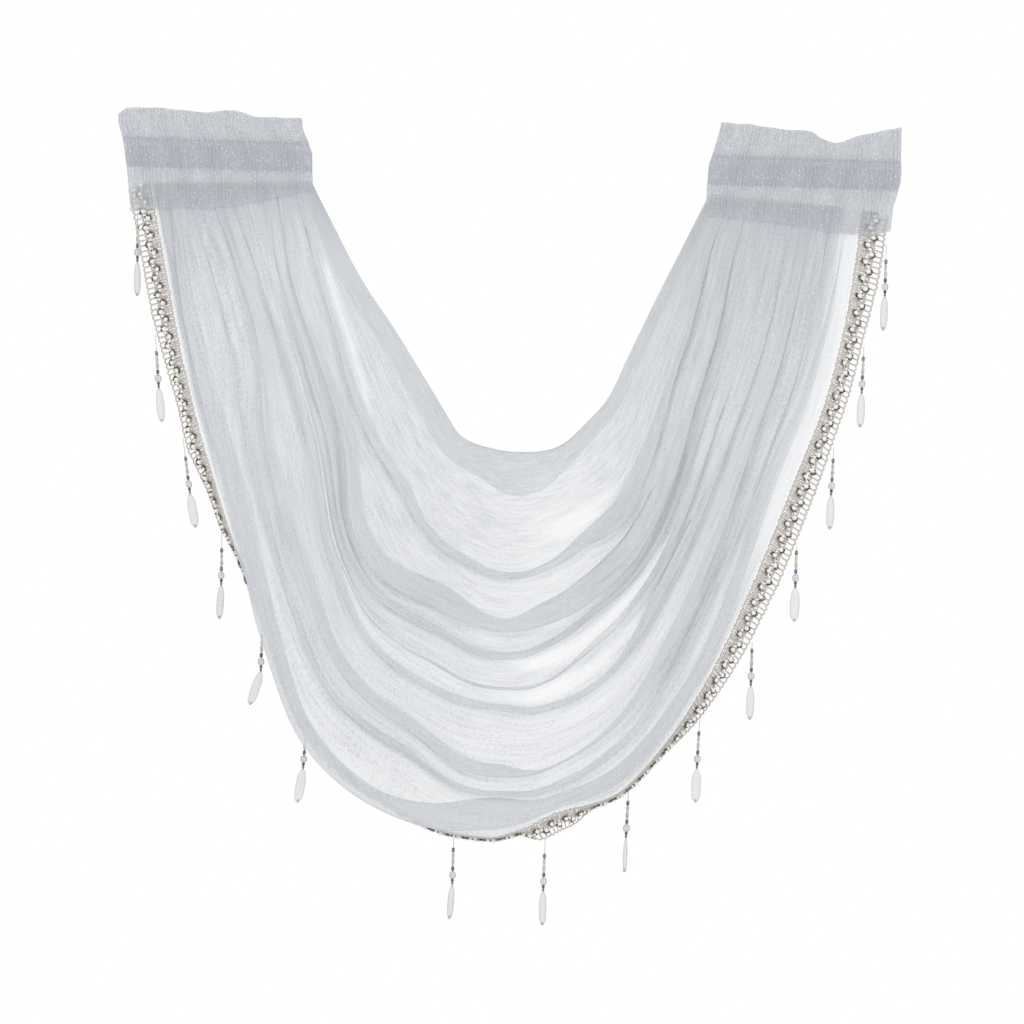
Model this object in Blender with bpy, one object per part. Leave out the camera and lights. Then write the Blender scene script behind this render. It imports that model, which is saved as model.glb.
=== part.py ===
"""A sheer balloon swag valance: two gathered headings, one deep U-shaped swag, a beaded braid and its drops.

Metres, +Z up, and the front faces -Y. The origin lies midway between the headings, at the top of their rod
pockets, which is the line on which the valance hangs.
"""

import math
from typing import NamedTuple

import bmesh
import bpy
import numpy as np

MM = 0.001

CLOTH_THICK = 1.2 * MM
BRAID_THICK = 2.0 * MM
SEAM_GAP = 0.4 * MM
DROP_GAP = 0.3 * MM

# Steps of the swag's mesh along its length, and how much closer they lie in the bowl than in the legs.
SWAG_STEPS = 40
BOWL_CROWDING = 0.06


class Station(NamedTuple):
    """One rung across the swag: where its top edge and its hem stand, in millimetres from the origin."""

    name: str
    top_x: float
    top_z: float
    hem_x: float
    hem_z: float


STATIONS = (
    Station("left heading", -200, -38, -361, -44),
    Station("left leg, upper", -177, -81, -344.5, -120),
    Station("left leg, middle", -148, -133, -330, -190),
    Station("left leg, lower", -111, -186, -312, -262),
    Station("left knee", -73, -244, -284, -350),
    Station("left turn", -43, -288, -234, -497),
    Station("left bowl, upper", -30, -294, -192, -594),
    Station("left bowl, lower", -12, -299, -119, -657),
    Station("foot, left", 8, -302, -38, -683),
    Station("foot, right", 24, -302, 30, -685),
    Station("right bowl, lower", 40, -300, 80, -668),
    Station("right bowl, upper", 58, -293, 141, -622),
    Station("right turn, lower", 82, -270, 203.5, -532),
    Station("right turn, upper", 103, -245, 249, -431),
    Station("right knee", 125, -195, 290, -322),
    Station("right leg, lower", 150, -139, 322, -232),
    Station("right leg, upper", 170.5, -96, 340, -142),
    Station("right heading", 198, -38, 350, -48),
)

# Where along the swag the columns of the fold tables are read, from 0 at the left heading to 1 at the right.
COLUMNS = (
    ("left heading", 0.0),
    ("left leg", 0.094),
    ("left knee", 0.199),
    ("left turn", 0.298),
    ("left bowl", 0.427),
    ("foot", 0.503),
    ("right bowl", 0.545),
    ("right rise", 0.60),
    ("right turn", 0.676),
    ("right knee", 0.82),
    ("right heading", 1.0),
)


class Fold(NamedTuple):
    """One cowl fold, column by column.

    lip is in percent of the way from top edge to hem, and overlap in mm. An overlap of FADED lays the fold
    flat. depth is how far the fold tucks in behind its lip, in mm.
    """

    name: str
    depth: float
    lip: tuple
    overlap: tuple


FADED = -3

FOLDS = (
    Fold(
        name="first",
        depth=9,
        lip=(10, 21, 33, 29, 31, 33, 32, 31, 36, 26, 12),
        overlap=(-3, 2, 10, 10, 8, 5, 7, 14, 24, 8, -3),
    ),
    Fold(
        name="second",
        depth=12,
        lip=(21, 35, 42, 52, 45, 47, 46, 46, 48, 40, 25),
        overlap=(-3, 3, 14, 18, 24, 14, 24, 27, 26, 6, -3),
    ),
    Fold(
        name="third",
        depth=8,
        lip=(31, 41, 49, 57, 51, 54, 52, 50, 53, 47, 36),
        overlap=(-3, 1, 4, 5, 6, 6, 5, 5, 5, 0, -3),
    ),
    Fold(
        name="right only",
        depth=8,
        lip=(41, 45, 53, 60, 58, 61, 60, 58, 59, 54, 46),
        overlap=(-3, -3, -3, -3, -3, -3, -3, 6, 8, 0, -3),
    ),
    Fold(
        name="fifth",
        depth=9,
        lip=(52, 50, 57, 64, 65, 67, 68, 69, 66, 63, 56),
        overlap=(-3, 2, 8, 8, 6, 6, 6, 8, 14, 2, -3),
    ),
    Fold(
        name="sixth",
        depth=12,
        lip=(64, 60, 75, 77, 77, 84, 83, 82, 80, 74, 68),
        overlap=(-3, 3, 10, 14, 14, 13, 0, 4, 14, 3, -3),
    ),
    Fold(
        name="seventh",
        depth=9,
        lip=(77, 74, 83, 85, 83, 89, 89, 89, 86, 83, 79),
        overlap=(-3, 1, 6, 6, 6, 4, 6, 8, 10, 1, -3),
    ),
    Fold(
        name="hem",
        depth=12,
        lip=(89, 95, 95, 100, 100, 98, 94, 97, 97, 92, 91),
        overlap=(-3, 14, 18, 22, 17, 32, 14, 16, 14, 11, -3),
    ),
)

# The turned-over top edge in mm, and the hem edge in percent, for the same columns.
TOP_TURNING = (8, 20, 22, 24, 32, 44, 40, 26, 18, 14, 8)
HEM_EDGE = (100, 100, 100, 98, 98, 100, 95, 100, 100, 100, 100)

# How far the bowl hangs in front of the headings, in mm, against the percent of the way from top edge to hem.
BELLY = ((0, 0), (33, 18), (60, 50), (85, 76), (100, 58))
BELLY_TAPER = 2.2

# The braid's lean out of the cloth's face, in degrees: 0 faces the front and 90 points straight back.
BRAID_LEAN = (
    (0.0, 0), (0.07, 4), (0.096, 20), (0.12, 35), (0.14, 43), (0.167, 38), (0.182, 50), (0.202, 63),
    (0.222, 66), (0.235, 80), (0.25, 92), (0.33, 105), (0.42, 100), (0.47, 86), (0.518, 80), (0.535, 28),
    (0.555, 34), (0.58, 80), (0.618, 79), (0.632, 73), (0.656, 54), (0.68, 41), (0.70, 28), (0.73, 8), (1.0, 0),
)

# How wide the braid lies, in mm, along the same way: it is stretched where the cloth pulls at it.
BRAID_WIDTHS = (
    (0.0, 24), (0.72, 24), (0.765, 26.4), (0.817, 26.4), (0.865, 23), (0.915, 23.2), (0.94, 25.5),
    (0.965, 28.5), (1.0, 29),
)

# Small sizes of a fold's turns.
UNDER_LIP = 3.0 * MM
UNDER_SHARE = 0.75
TURN_PULL = 18.0 * MM
FULL_OVERLAP = 4.0
PANEL_PULL = 0.8
HEM_SETBACK = 9.0 * MM
HEM_PULL = 10.0 * MM
HEM_STRAIGHT = 3.0 * MM
TURNING_BACK = 5.0 * MM
CAUGHT_SHARE = 0.18
CAUGHT_UNTIL = 0.03
CAUGHT_RAMP = 0.07
CAUGHT_FORWARD = 1.0 * MM


def monotone_read(knots, values, at):
    """Read a table at one place or many by a smooth curve that never overshoots its rows."""
    knots = np.asarray(knots, float)
    values = np.asarray(values, float)
    at = np.asarray(at, float)
    steps = np.diff(knots)
    rises = np.diff(values) / steps
    slopes = np.zeros(len(knots))
    slopes[0], slopes[-1] = rises[0], rises[-1]
    same_way = rises[:-1] * rises[1:] > 0
    both = rises[:-1] + rises[1:]
    slopes[1:-1][same_way] = 2 * (rises[:-1] * rises[1:])[same_way] / both[same_way]
    i = np.clip(np.searchsorted(knots, at, side="right") - 1, 0, len(steps) - 1)
    u = (at - knots[i]) / steps[i]
    start, end = values[i], values[i + 1]
    pull_start, pull_end = slopes[i] * steps[i], slopes[i + 1] * steps[i]
    return (
        start * (1 + 2 * u) * (1 - u) ** 2
        + pull_start * u * (1 - u) ** 2
        + end * u**2 * (3 - 2 * u)
        + pull_end * u**2 * (u - 1)
    )


def read_pairs(pairs, at):
    """Read a table of (place, value) rows at one place."""
    return float(monotone_read([row[0] for row in pairs], [row[1] for row in pairs], at))


def smooth_step(value):
    """0 below 0, 1 above 1, and an even ramp between."""
    value = min(max(value, 0.0), 1.0)
    return value * value * (3 - 2 * value)


def station_places():
    """How far along the hem each station lies, from 0 at the left heading to 1 at the right."""
    hem = np.array([(row.hem_x, row.hem_z) for row in STATIONS], float)
    lengths = np.linalg.norm(np.diff(hem, axis=0), axis=1)
    run = np.concatenate([[0.0], np.cumsum(lengths)])
    return run / run[-1]


STATION_AT = station_places()
COLUMN_AT = [place for _, place in COLUMNS]


def top_edge(t):
    """The swag's top edge at t, as (x, z)."""
    x = monotone_read(STATION_AT, [row.top_x for row in STATIONS], t)
    z = monotone_read(STATION_AT, [row.top_z for row in STATIONS], t)
    return np.array([x, z]) * MM


def hem_line(t):
    """The line of the swag's lowest lip or hem at t, as (x, z)."""
    x = monotone_read(STATION_AT, [row.hem_x for row in STATIONS], t)
    z = monotone_read(STATION_AT, [row.hem_z for row in STATIONS], t)
    return np.array([x, z]) * MM


def swell(t):
    """How much of the belly hangs forward at t: none at the headings, all of it over the foot."""
    return math.sin(math.pi * min(max(t, 0.0), 1.0)) ** BELLY_TAPER


def base_depth(t, percent):
    """Where the face of the swag stands in Y, at a percent of the way from top edge to hem."""
    return -read_pairs(BELLY, percent) * MM * swell(t) - CAUGHT_FORWARD * (1 - caught_free(t))


def caught_free(t):
    """0 where the cloth is caught flat in a heading, 1 where its folds stand free."""
    from_heading = min(t, 1 - t)
    return smooth_step((from_heading - CAUGHT_UNTIL) / CAUGHT_RAMP)


def braid_lean(t):
    """The braid's lean at t, in radians."""
    return math.radians(read_pairs(BRAID_LEAN, t))


class Bend(NamedTuple):
    """A point that the cross-section passes: its place and pull, and the steps to the next bend."""

    across: float
    depth: float
    pull_across: float
    pull_depth: float
    steps: int


TURNING_STEPS = 2
CROWN_STEPS = 3
RETURN_STEPS = 2
TUCK_STEPS = 1
PANEL_STEPS = 2
HEM_STEPS = 2


def section_bends(t):
    """The bends of the cross-section at t, from the raw top edge over the crown and the folds to the hem."""
    width = float(np.linalg.norm(hem_line(t) - top_edge(t)))
    free = CAUGHT_SHARE + (1 - CAUGHT_SHARE) * caught_free(t)
    turning = float(monotone_read(COLUMN_AT, TOP_TURNING, t)) * MM
    crown = base_depth(t, 0)
    bends = [
        Bend(turning, crown + TURNING_BACK * free, -turning * PANEL_PULL, 0.0, TURNING_STEPS),
        Bend(0.0, crown, 0.0, -TURN_PULL * free, CROWN_STEPS),
    ]
    for fold in FOLDS:
        percent = float(monotone_read(COLUMN_AT, fold.lip, t))
        overlap = float(monotone_read(COLUMN_AT, fold.overlap, t))
        kept = smooth_step((overlap - FADED) / (FULL_OVERLAP - FADED))
        lip = percent / 100 * width
        face = base_depth(t, percent)
        depth = fold.depth * MM * max(kept * free, CAUGHT_SHARE * (1 - caught_free(t)))
        turn = TURN_PULL * max(kept, 1 - caught_free(t)) * free
        slide = UNDER_LIP * (1 - kept)
        bends.append(Bend(lip, face, slide, turn, RETURN_STEPS))
        bends.append(Bend(lip - overlap * MM, face + depth, slide, turn, TUCK_STEPS))
        if fold is not FOLDS[-1]:
            bends.append(
                Bend(
                    lip + UNDER_LIP * (1 + (1 - kept)),
                    face + depth * UNDER_SHARE,
                    width / len(FOLDS) * PANEL_PULL,
                    0.0,
                    PANEL_STEPS,
                )
            )
    bends[-1] = bends[-1]._replace(steps=HEM_STEPS)
    across, depth = hem_edge_place(t)
    lean_across, lean_depth = math.cos(braid_lean(t)), math.sin(braid_lean(t))
    pull_across, pull_depth = HEM_PULL * lean_across, HEM_PULL * lean_depth
    start_across, start_depth = across - HEM_STRAIGHT * lean_across, depth - HEM_STRAIGHT * lean_depth
    bends.append(Bend(start_across, start_depth, pull_across, pull_depth, 1))
    bends.append(Bend(across, depth, pull_across, pull_depth, 0))
    return bends


def hem_edge_place(t):
    """Where the hem edge lies in the cross-section at t, as (across, depth)."""
    width = float(np.linalg.norm(hem_line(t) - top_edge(t)))
    percent = float(monotone_read(COLUMN_AT, HEM_EDGE, t))
    lip_percent = float(monotone_read(COLUMN_AT, FOLDS[-1].lip, t))
    free = CAUGHT_SHARE + (1 - CAUGHT_SHARE) * caught_free(t)
    return percent / 100 * width, base_depth(t, lip_percent) + HEM_SETBACK * free


def section(t):
    """The points of the cross-section at t, as rows of (across, depth)."""
    bends = section_bends(t)
    points = []
    for here, there in zip(bends, bends[1:]):
        for step in range(here.steps):
            u = step / here.steps
            ease = (1 + 2 * u) * (1 - u) ** 2
            leave, arrive = u * (1 - u) ** 2, u**2 * (u - 1)
            points.append(
                (
                    here.across * ease
                    + there.across * (1 - ease)
                    + here.pull_across * leave
                    + there.pull_across * arrive,
                    here.depth * ease
                    + there.depth * (1 - ease)
                    + here.pull_depth * leave
                    + there.pull_depth * arrive,
                )
            )
    points.append((bends[-1].across, bends[-1].depth))
    return np.array(points)


def place_in_space(t, across, depth):
    """Turn a place in the cross-section at t into a point in space."""
    top, hem = top_edge(t), hem_line(t)
    way = (hem - top) / np.linalg.norm(hem - top)
    x, z = top + way * across
    return np.array([x, depth, z])


def swag_places():
    """The places along the swag at which its mesh has a row of points, closer together in the bowl."""
    steps = np.linspace(0, 1, SWAG_STEPS + 1)
    return steps + BOWL_CROWDING * np.sin(2 * math.pi * steps)


def material(name, colour, roughness, metallic=0.0):
    """A Principled material."""
    made = bpy.data.materials.new(name)
    made.use_nodes = True
    shader = made.node_tree.nodes["Principled BSDF"]
    shader.inputs["Base Color"].default_value = (*colour, 1.0)
    shader.inputs["Roughness"].default_value = roughness
    shader.inputs["Metallic"].default_value = metallic
    made.diffuse_color = (*colour, 1.0)
    return made


def new_object(name, mesh, finish):
    """Link a mesh into the scene as a node of its own."""
    mesh.materials.append(finish)
    made = bpy.data.objects.new(name, mesh)
    bpy.context.scene.collection.objects.link(made)
    return made


def thicken(piece, thickness):
    """Give a sheet its thickness, half to each side of it."""
    solid = piece.modifiers.new("thickness", "SOLIDIFY")
    solid.thickness = thickness
    solid.offset = 0.0
    solid.use_rim = True
    return piece


def mesh_from(name, points, faces):
    """A smooth-shaded mesh from points and faces."""
    mesh = bpy.data.meshes.new(name)
    mesh.from_pydata([tuple(point) for point in points], [], faces)
    mesh.validate()
    mesh.shade_smooth()
    return mesh


def make_swag(finish):
    """The one-piece swag, a thin sheet along its folded cross-sections."""
    rows = [[place_in_space(t, across, depth) for across, depth in section(t)] for t in swag_places()]
    count = len(rows[0])
    points = [point for row in rows for point in row]
    faces = []
    for row in range(len(rows) - 1):
        for col in range(count - 1):
            corner = row * count + col
            faces.append((corner, corner + 1, corner + count + 1, corner + count))
    return thicken(new_object("swag_cloth", mesh_from("swag_cloth", points, faces), finish), CLOTH_THICK)


# The braid: a close-worked band, then a row of open loops that an outer rail closes.
BAND_WIDTH = 15.0 * MM
RAIL_WIDTH = 3.0 * MM
LOOP_PITCH = 13.5 * MM
RUNG_SHARE = 0.32
LOOP_COLUMN = 1
LEAN_STEP = 0.002


class BraidLine:
    """The hem edge in space, with the way that the braid's width points at each place along it."""

    def __init__(self):
        places = swag_places()
        self.edge = np.array([self.hem_point(t) for t in places])
        self.out = np.array([self.width_way(t) for t in places])
        self.width = np.array([read_pairs(BRAID_WIDTHS, t) * MM for t in places])
        self.outer = self.edge + self.out * self.width[:, None]
        self.run = self.distances(self.edge)
        self.outer_run = self.distances(self.outer)

    @staticmethod
    def distances(line):
        """How far along a line of points each of them lies."""
        return np.concatenate([[0.0], np.cumsum(np.linalg.norm(np.diff(line, axis=0), axis=1))])

    @staticmethod
    def hem_point(t):
        """The hem edge at t."""
        return place_in_space(t, *hem_edge_place(t))

    @classmethod
    def width_way(cls, t):
        """The unit way from the hem edge across the braid at t."""
        along = cls.hem_point(min(t + LEAN_STEP, 1)) - cls.hem_point(max(t - LEAN_STEP, 0))
        along /= np.linalg.norm(along)
        face_out = np.array([-along[2], 0.0, along[0]])
        face_out /= np.linalg.norm(face_out)
        if face_out @ (cls.hem_point(t) - place_in_space(t, 0.0, 0.0)) < 0:
            face_out = -face_out
        lean = braid_lean(t)
        way = math.cos(lean) * face_out + math.sin(lean) * np.array([0.0, 1.0, 0.0])
        way -= along * (way @ along)
        return way / np.linalg.norm(way)

    def row_at(self, distance):
        """The four points across the braid at a distance along the hem: seam, band, inner and outer rail."""
        edge = np.array([np.interp(distance, self.run, self.edge[:, axis]) for axis in range(3)])
        out = np.array([np.interp(distance, self.run, self.out[:, axis]) for axis in range(3)])
        out /= np.linalg.norm(out)
        width = np.interp(distance, self.run, self.width)
        widths = (SEAM_GAP, SEAM_GAP + BAND_WIDTH, width - RAIL_WIDTH, width)
        return [edge + out * across for across in widths]

    def outer_at(self, distance):
        """The point at a distance along the braid's outer rail, and the way that the braid points there."""
        point = np.array([np.interp(distance, self.outer_run, self.outer[:, axis]) for axis in range(3)])
        out = np.array([np.interp(distance, self.outer_run, self.out[:, axis]) for axis in range(3)])
        return point, out / np.linalg.norm(out)


def make_braid(line, finish):
    """The crochet braid: a ladder of open loops along the hem, closed at both ends."""
    loops = round(line.run[-1] / LOOP_PITCH)
    pitch = line.run[-1] / loops
    cuts = [pitch * (loop + share) for loop in range(loops) for share in (0.0, RUNG_SHARE)] + [line.run[-1]]
    rows = [line.row_at(cut) for cut in cuts]
    count = len(rows[0])
    points = [point for row in rows for point in row]
    faces = []
    for row in range(len(rows) - 1):
        on_rung = row % 2 == 0 or row == len(rows) - 2
        for col in range(count - 1):
            if col == LOOP_COLUMN and not on_rung:
                continue
            corner = row * count + col
            faces.append((corner, corner + 1, corner + count + 1, corner + count))
    return thicken(new_object("beaded_braid", mesh_from("beaded_braid", points, faces), finish), BRAID_THICK)


class Ring(NamedTuple):
    """One ring of a drop's turned outline: what it ends, its radius and how far down it lies, in mm."""

    name: str
    radius: float
    down: float


DROP_RINGS = (
    Ring("thread, top", 0.6, 0),
    Ring("thread, foot", 0.6, 11.5),
    Ring("seed bead", 1.7, 13.5),
    Ring("bugle, top", 1.0, 16),
    Ring("bugle, foot", 1.0, 29),
    Ring("small bead", 1.7, 31.6),
    Ring("small bead, foot", 1.0, 34.5),
    Ring("round bead", 3.0, 38.5),
    Ring("round bead, foot", 0.9, 42),
    Ring("lower seed bead", 1.7, 45),
    Ring("pendant, neck", 0.8, 48.2),
    Ring("pendant, shoulder", 3.4, 56),
    Ring("pendant, body", 3.6, 70),
    Ring("pendant, tip", 1.2, 81),
)
DROP_SIDES = 6


class Drop(NamedTuple):
    """One drop: its place along the braid's outer rail and how much longer its thread is, in mm.

    swing is how far the whole string hangs out of upright, and lean how much further its pendant does, in
    degrees towards the right. behind is how far in from the rail it hangs at the braid's back, in mm.
    """

    place: float
    longer: float
    swing: float = 0.0
    lean: float = 0.0
    behind: float = 0.0


DROPS = (
    Drop(30, -2, swing=1, behind=5),
    Drop(150, 5, swing=5.5, lean=1.5),
    Drop(257, 8, swing=9, lean=2),
    Drop(358.5, 6.5, swing=1, lean=-2.5),
    Drop(449, 12.5, lean=-16),
    Drop(570, -2.5, swing=-2.5, lean=-5),
    Drop(758.5, 1.7, lean=-3),
    Drop(852.5, 2.4, swing=-0.5, lean=1),
    Drop(953, 0, swing=-1.5, lean=1),
    Drop(1052, 0.5, swing=-1.5, lean=1),
    Drop(1145.5, -4.6),
    Drop(1251, -7),
    Drop(1357.5, 0, swing=-1.5, lean=1),
    Drop(1463, -1.5, swing=-1),
    Drop(1568, 4, lean=-1),
)
PENDANT_NECK = "pendant, neck"
BACK_SWING = 6.0


def drop_rings(drop):
    """The rings of one drop as (aside, back, radius, down) in mm, with its own thread and its leans."""
    neck = next(ring.down for ring in DROP_RINGS if ring.name == PENDANT_NECK)
    swing, lean, back_swing = (math.tan(math.radians(turn)) for turn in (drop.swing, drop.lean, BACK_SWING))
    rings = []
    for ring in DROP_RINGS:
        down = ring.down + drop.longer if ring.down > 0 else 0
        aside = down * swing + max(ring.down - neck, 0) * lean
        back = down * back_swing if drop.behind else 0
        rings.append((aside, back, ring.radius, down))
    return rings


def turned(name, rings, sides, top):
    """A turned solid that hangs from the point top, closed at both ends."""
    points, faces = [], []
    for aside, back, radius, down in rings:
        for side in range(sides):
            turn = 2 * math.pi * side / sides
            corner = np.array([aside + radius * math.cos(turn), back + radius * math.sin(turn), -down])
            points.append(top + corner * MM)
    for row in range(len(rings) - 1):
        for side in range(sides):
            here, there = row * sides + side, row * sides + (side + 1) % sides
            faces.append((here, here + sides, there + sides, there))
    faces.append(tuple(range(sides)))
    faces.append(tuple(reversed(range((len(rings) - 1) * sides, len(rings) * sides))))
    return mesh_from(name, points, faces)


def hang_point(line, drop):
    """The point just clear of the braid's outer rail, or of its back, from which a drop hangs."""
    point, out = line.outer_at(drop.place * MM)
    clear = DROP_RINGS[0].radius * MM + DROP_GAP
    if drop.behind:
        return point - out * drop.behind * MM + np.array([0.0, BRAID_THICK / 2 + clear, 0.0])
    sideways = np.array([out[0], out[1], 0.0]) * clear
    half_thick = BRAID_THICK / 2 * math.sqrt(max(1 - out[2] ** 2, 0.0))
    down = max(-out[2], 0.0) * DROP_GAP + half_thick
    return point + sideways - np.array([0.0, 0.0, down])


def make_drops(line, finish):
    """The drops, hung along the braid's outer rail."""
    for number, drop in enumerate(DROPS, start=1):
        name = f"bead_drop_{number:02d}"
        mesh = turned(name, drop_rings(drop), DROP_SIDES, hang_point(line, drop))
        new_object(name, mesh, finish)


# The headings, each from its outer end to its inner end.
class Level(NamedTuple):
    """How far out and in a heading reaches at one height, in mm."""

    height: float
    outer_x: float
    inner_x: float


class Gather(NamedTuple):
    """The frill's height and the band's depth at a share of the way from the outer end, in mm."""

    share: float
    frill: float
    band: float


LEFT_LEVELS = (
    Level(-70, -380.5, -199),
    Level(-39, -384, -199),
    Level(-21, -386.4, -200.3),
    Level(-9.5, -388, -200.7),
    Level(2, -391, -205),
    Level(14, -395, -210.5),
    Level(30, -396, -211.5),
)
RIGHT_LEVELS = (
    Level(-70, 380, 195),
    Level(-45, 382, 195),
    Level(-33, 385.5, 195),
    Level(-21, 388, 196),
    Level(-9, 388.6, 196.5),
    Level(3, 388.2, 200),
    Level(30, 388, 207),
)

LEFT_GATHERS = (
    Gather(0.0, 24, -74),
    Gather(0.05, 30, -73),
    Gather(0.2, 31, -69),
    Gather(0.48, 28, -67),
    Gather(0.62, 31, -63),
    Gather(0.76, 25, -57),
    Gather(1.0, 25, -46),
)
RIGHT_GATHERS = (
    Gather(0.0, 35, -70),
    Gather(0.12, 30, -75),
    Gather(0.25, 24, -74),
    Gather(0.36, 17, -71),
    Gather(0.44, 22, -68),
    Gather(0.5, 28, -67),
    Gather(0.65, 29, -64),
    Gather(0.85, 33, -61),
    Gather(1.0, 34, -60),
)

HEADING_STEPS = 32
WALL = 1.2
SEAM_HALF = 1.2
POCKET_SEAM = -30.0
POCKET_FRONT = 8.0
POCKET_BACK = 6.5
POCKET_SHOULDER = 8.0
POCKET_TIP = 2.2
SLOT_HALF = 2.8
SLOT_TOP = -32.5
SLOT_SHOULDER = -37.0
FRILL_WAVES = 7
WAVE_DRIFT = 1.1
FRILL_SWAY = 3.2
FRILL_LOOSENING = 1.5
POCKET_SWAY = 0.6

# The cells of a heading's cross-section, by the names of their corners.
HEADING_CELLS = (
    ("frill_f", "frill_b", "mid_b", "mid_f"),
    ("mid_f", "mid_b", "seam_b", "seam_f"),
    ("seam_f", "seam_b", "rod_top"),
    ("seam_f", "rod_top", "in_f1", "out_f1"),
    ("out_f1", "in_f1", "in_f2", "out_f2"),
    ("out_f2", "in_f2", "rod_foot", "low_f"),
    ("rod_top", "seam_b", "out_b1", "in_b1"),
    ("in_b1", "out_b1", "out_b2", "in_b2"),
    ("in_b2", "out_b2", "low_b", "rod_foot"),
    ("low_f", "rod_foot", "low_b", "slot_top"),
    ("low_f", "slot_top", "slot_f", "band_f"),
    ("band_f", "slot_f", "lip_f_in", "lip_f_out"),
    ("slot_top", "low_b", "band_b", "slot_b"),
    ("slot_b", "band_b", "lip_b_out", "lip_b_in"),
)


def heading_profile(frill, band):
    """The corners of a heading's cross-section as (y, z) in mm, front to the minus side."""
    front_in, back_in = POCKET_FRONT - WALL, POCKET_BACK - WALL
    low_shoulder = POCKET_SEAM + POCKET_SHOULDER
    out = SLOT_HALF + WALL
    return {
        "frill_f": (-SEAM_HALF, frill),
        "frill_b": (SEAM_HALF, frill),
        "mid_f": (-SEAM_HALF, frill / 2),
        "mid_b": (SEAM_HALF, frill / 2),
        "seam_f": (-SEAM_HALF, 0),
        "seam_b": (SEAM_HALF, 0),
        "rod_top": (0, -POCKET_TIP),
        "out_f1": (-POCKET_FRONT, -POCKET_SHOULDER),
        "in_f1": (-front_in, -POCKET_SHOULDER - WALL / 2),
        "out_f2": (-POCKET_FRONT, low_shoulder),
        "in_f2": (-front_in, low_shoulder + WALL / 2),
        "out_b1": (POCKET_BACK, -POCKET_SHOULDER),
        "in_b1": (back_in, -POCKET_SHOULDER - WALL / 2),
        "out_b2": (POCKET_BACK, low_shoulder),
        "in_b2": (back_in, low_shoulder + WALL / 2),
        "rod_foot": (0, POCKET_SEAM + POCKET_TIP),
        "low_f": (-SEAM_HALF - WALL, POCKET_SEAM),
        "low_b": (SEAM_HALF + WALL, POCKET_SEAM),
        "slot_top": (0, SLOT_TOP),
        "band_f": (-out, SLOT_SHOULDER),
        "slot_f": (-SLOT_HALF, SLOT_SHOULDER - WALL / 2),
        "band_b": (out, SLOT_SHOULDER),
        "slot_b": (SLOT_HALF, SLOT_SHOULDER - WALL / 2),
        "lip_f_out": (-out, band),
        "lip_f_in": (-SLOT_HALF, band),
        "lip_b_out": (out, band),
        "lip_b_in": (SLOT_HALF, band),
    }


def heading_x(levels, share, z):
    """Where a point of the heading lies in X, at a share of its width and a height in mm."""
    heights = [row.height for row in levels]
    outer = np.interp(z, heights, [row.outer_x for row in levels])
    inner = np.interp(z, heights, [row.inner_x for row in levels])
    return outer + (inner - outer) * share


def heading_sway(share, z, frill):
    """How far the gathers push the cloth to the front or the back, in mm."""
    wave = math.sin(2 * math.pi * FRILL_WAVES * share + WAVE_DRIFT * math.sin(2 * math.pi * share))
    if z > 0:
        return wave * FRILL_SWAY * (z / frill) ** FRILL_LOOSENING
    return wave * POCKET_SWAY * smooth_step(-z / POCKET_SHOULDER)


def make_heading(name, levels, gathers, finish):
    """A gathered heading, swept along its width from the cells of its cross-section."""
    shares = np.linspace(0, 1, HEADING_STEPS + 1)
    frills = monotone_read([row.share for row in gathers], [row.frill for row in gathers], shares)
    bands = monotone_read([row.share for row in gathers], [row.band for row in gathers], shares)
    shell = bmesh.new()
    rows = []
    for share, frill, band in zip(shares, frills, bands):
        row = {}
        for corner, (y, z) in heading_profile(frill, band).items():
            x = heading_x(levels, share, z)
            sway = heading_sway(share, z, frill)
            row[corner] = shell.verts.new((x * MM, (y + sway) * MM, z * MM))
        rows.append(row)
    edges = [frozenset(pair) for cell in HEADING_CELLS for pair in zip(cell, cell[1:] + cell[:1])]
    for cell in HEADING_CELLS:
        for a, b in zip(cell, cell[1:] + cell[:1]):
            if edges.count(frozenset((a, b))) > 1:
                continue
            for here, there in zip(rows, rows[1:]):
                shell.faces.new((here[a], here[b], there[b], there[a]))
    for row in (rows[0], rows[-1]):
        for cell in HEADING_CELLS:
            shell.faces.new([row[corner] for corner in cell])
    bmesh.ops.recalc_face_normals(shell, faces=shell.faces)
    mesh = bpy.data.meshes.new(name)
    shell.to_mesh(mesh)
    shell.free()
    mesh.shade_smooth()
    return new_object(name, mesh, finish)


def main():
    """Clear the scene and build the valance."""
    for old in list(bpy.data.objects):
        bpy.data.objects.remove(old, do_unlink=True)
    voile = material("voile", (0.80, 0.82, 0.85), 0.75)
    heading_voile = material("heading_voile", (0.60, 0.62, 0.67), 0.7)
    crochet = material("crochet", (0.70, 0.66, 0.56), 0.85)
    beads = material("beads", (0.78, 0.76, 0.70), 0.15)
    make_swag(voile)
    make_heading("heading_left", LEFT_LEVELS, LEFT_GATHERS, heading_voile)
    make_heading("heading_right", RIGHT_LEVELS, RIGHT_GATHERS, heading_voile)
    line = BraidLine()
    make_braid(line, crochet)
    make_drops(line, beads)


main()
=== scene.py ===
"""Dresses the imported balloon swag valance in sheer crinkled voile, crochet braid, small beads and bead drops.

Metres, +Z up, and the front faces -Y. The short tables are in mm where nothing else is said. Those of the
swag repeat the ones of the part's source, so that the thin cloth lies on the folds of the solid that it
stands for.
"""

import logging
import math
from collections.abc import Callable, Sequence
from dataclasses import dataclass, field
from enum import Enum
from functools import cached_property
from typing import NamedTuple, TypeVar

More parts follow.
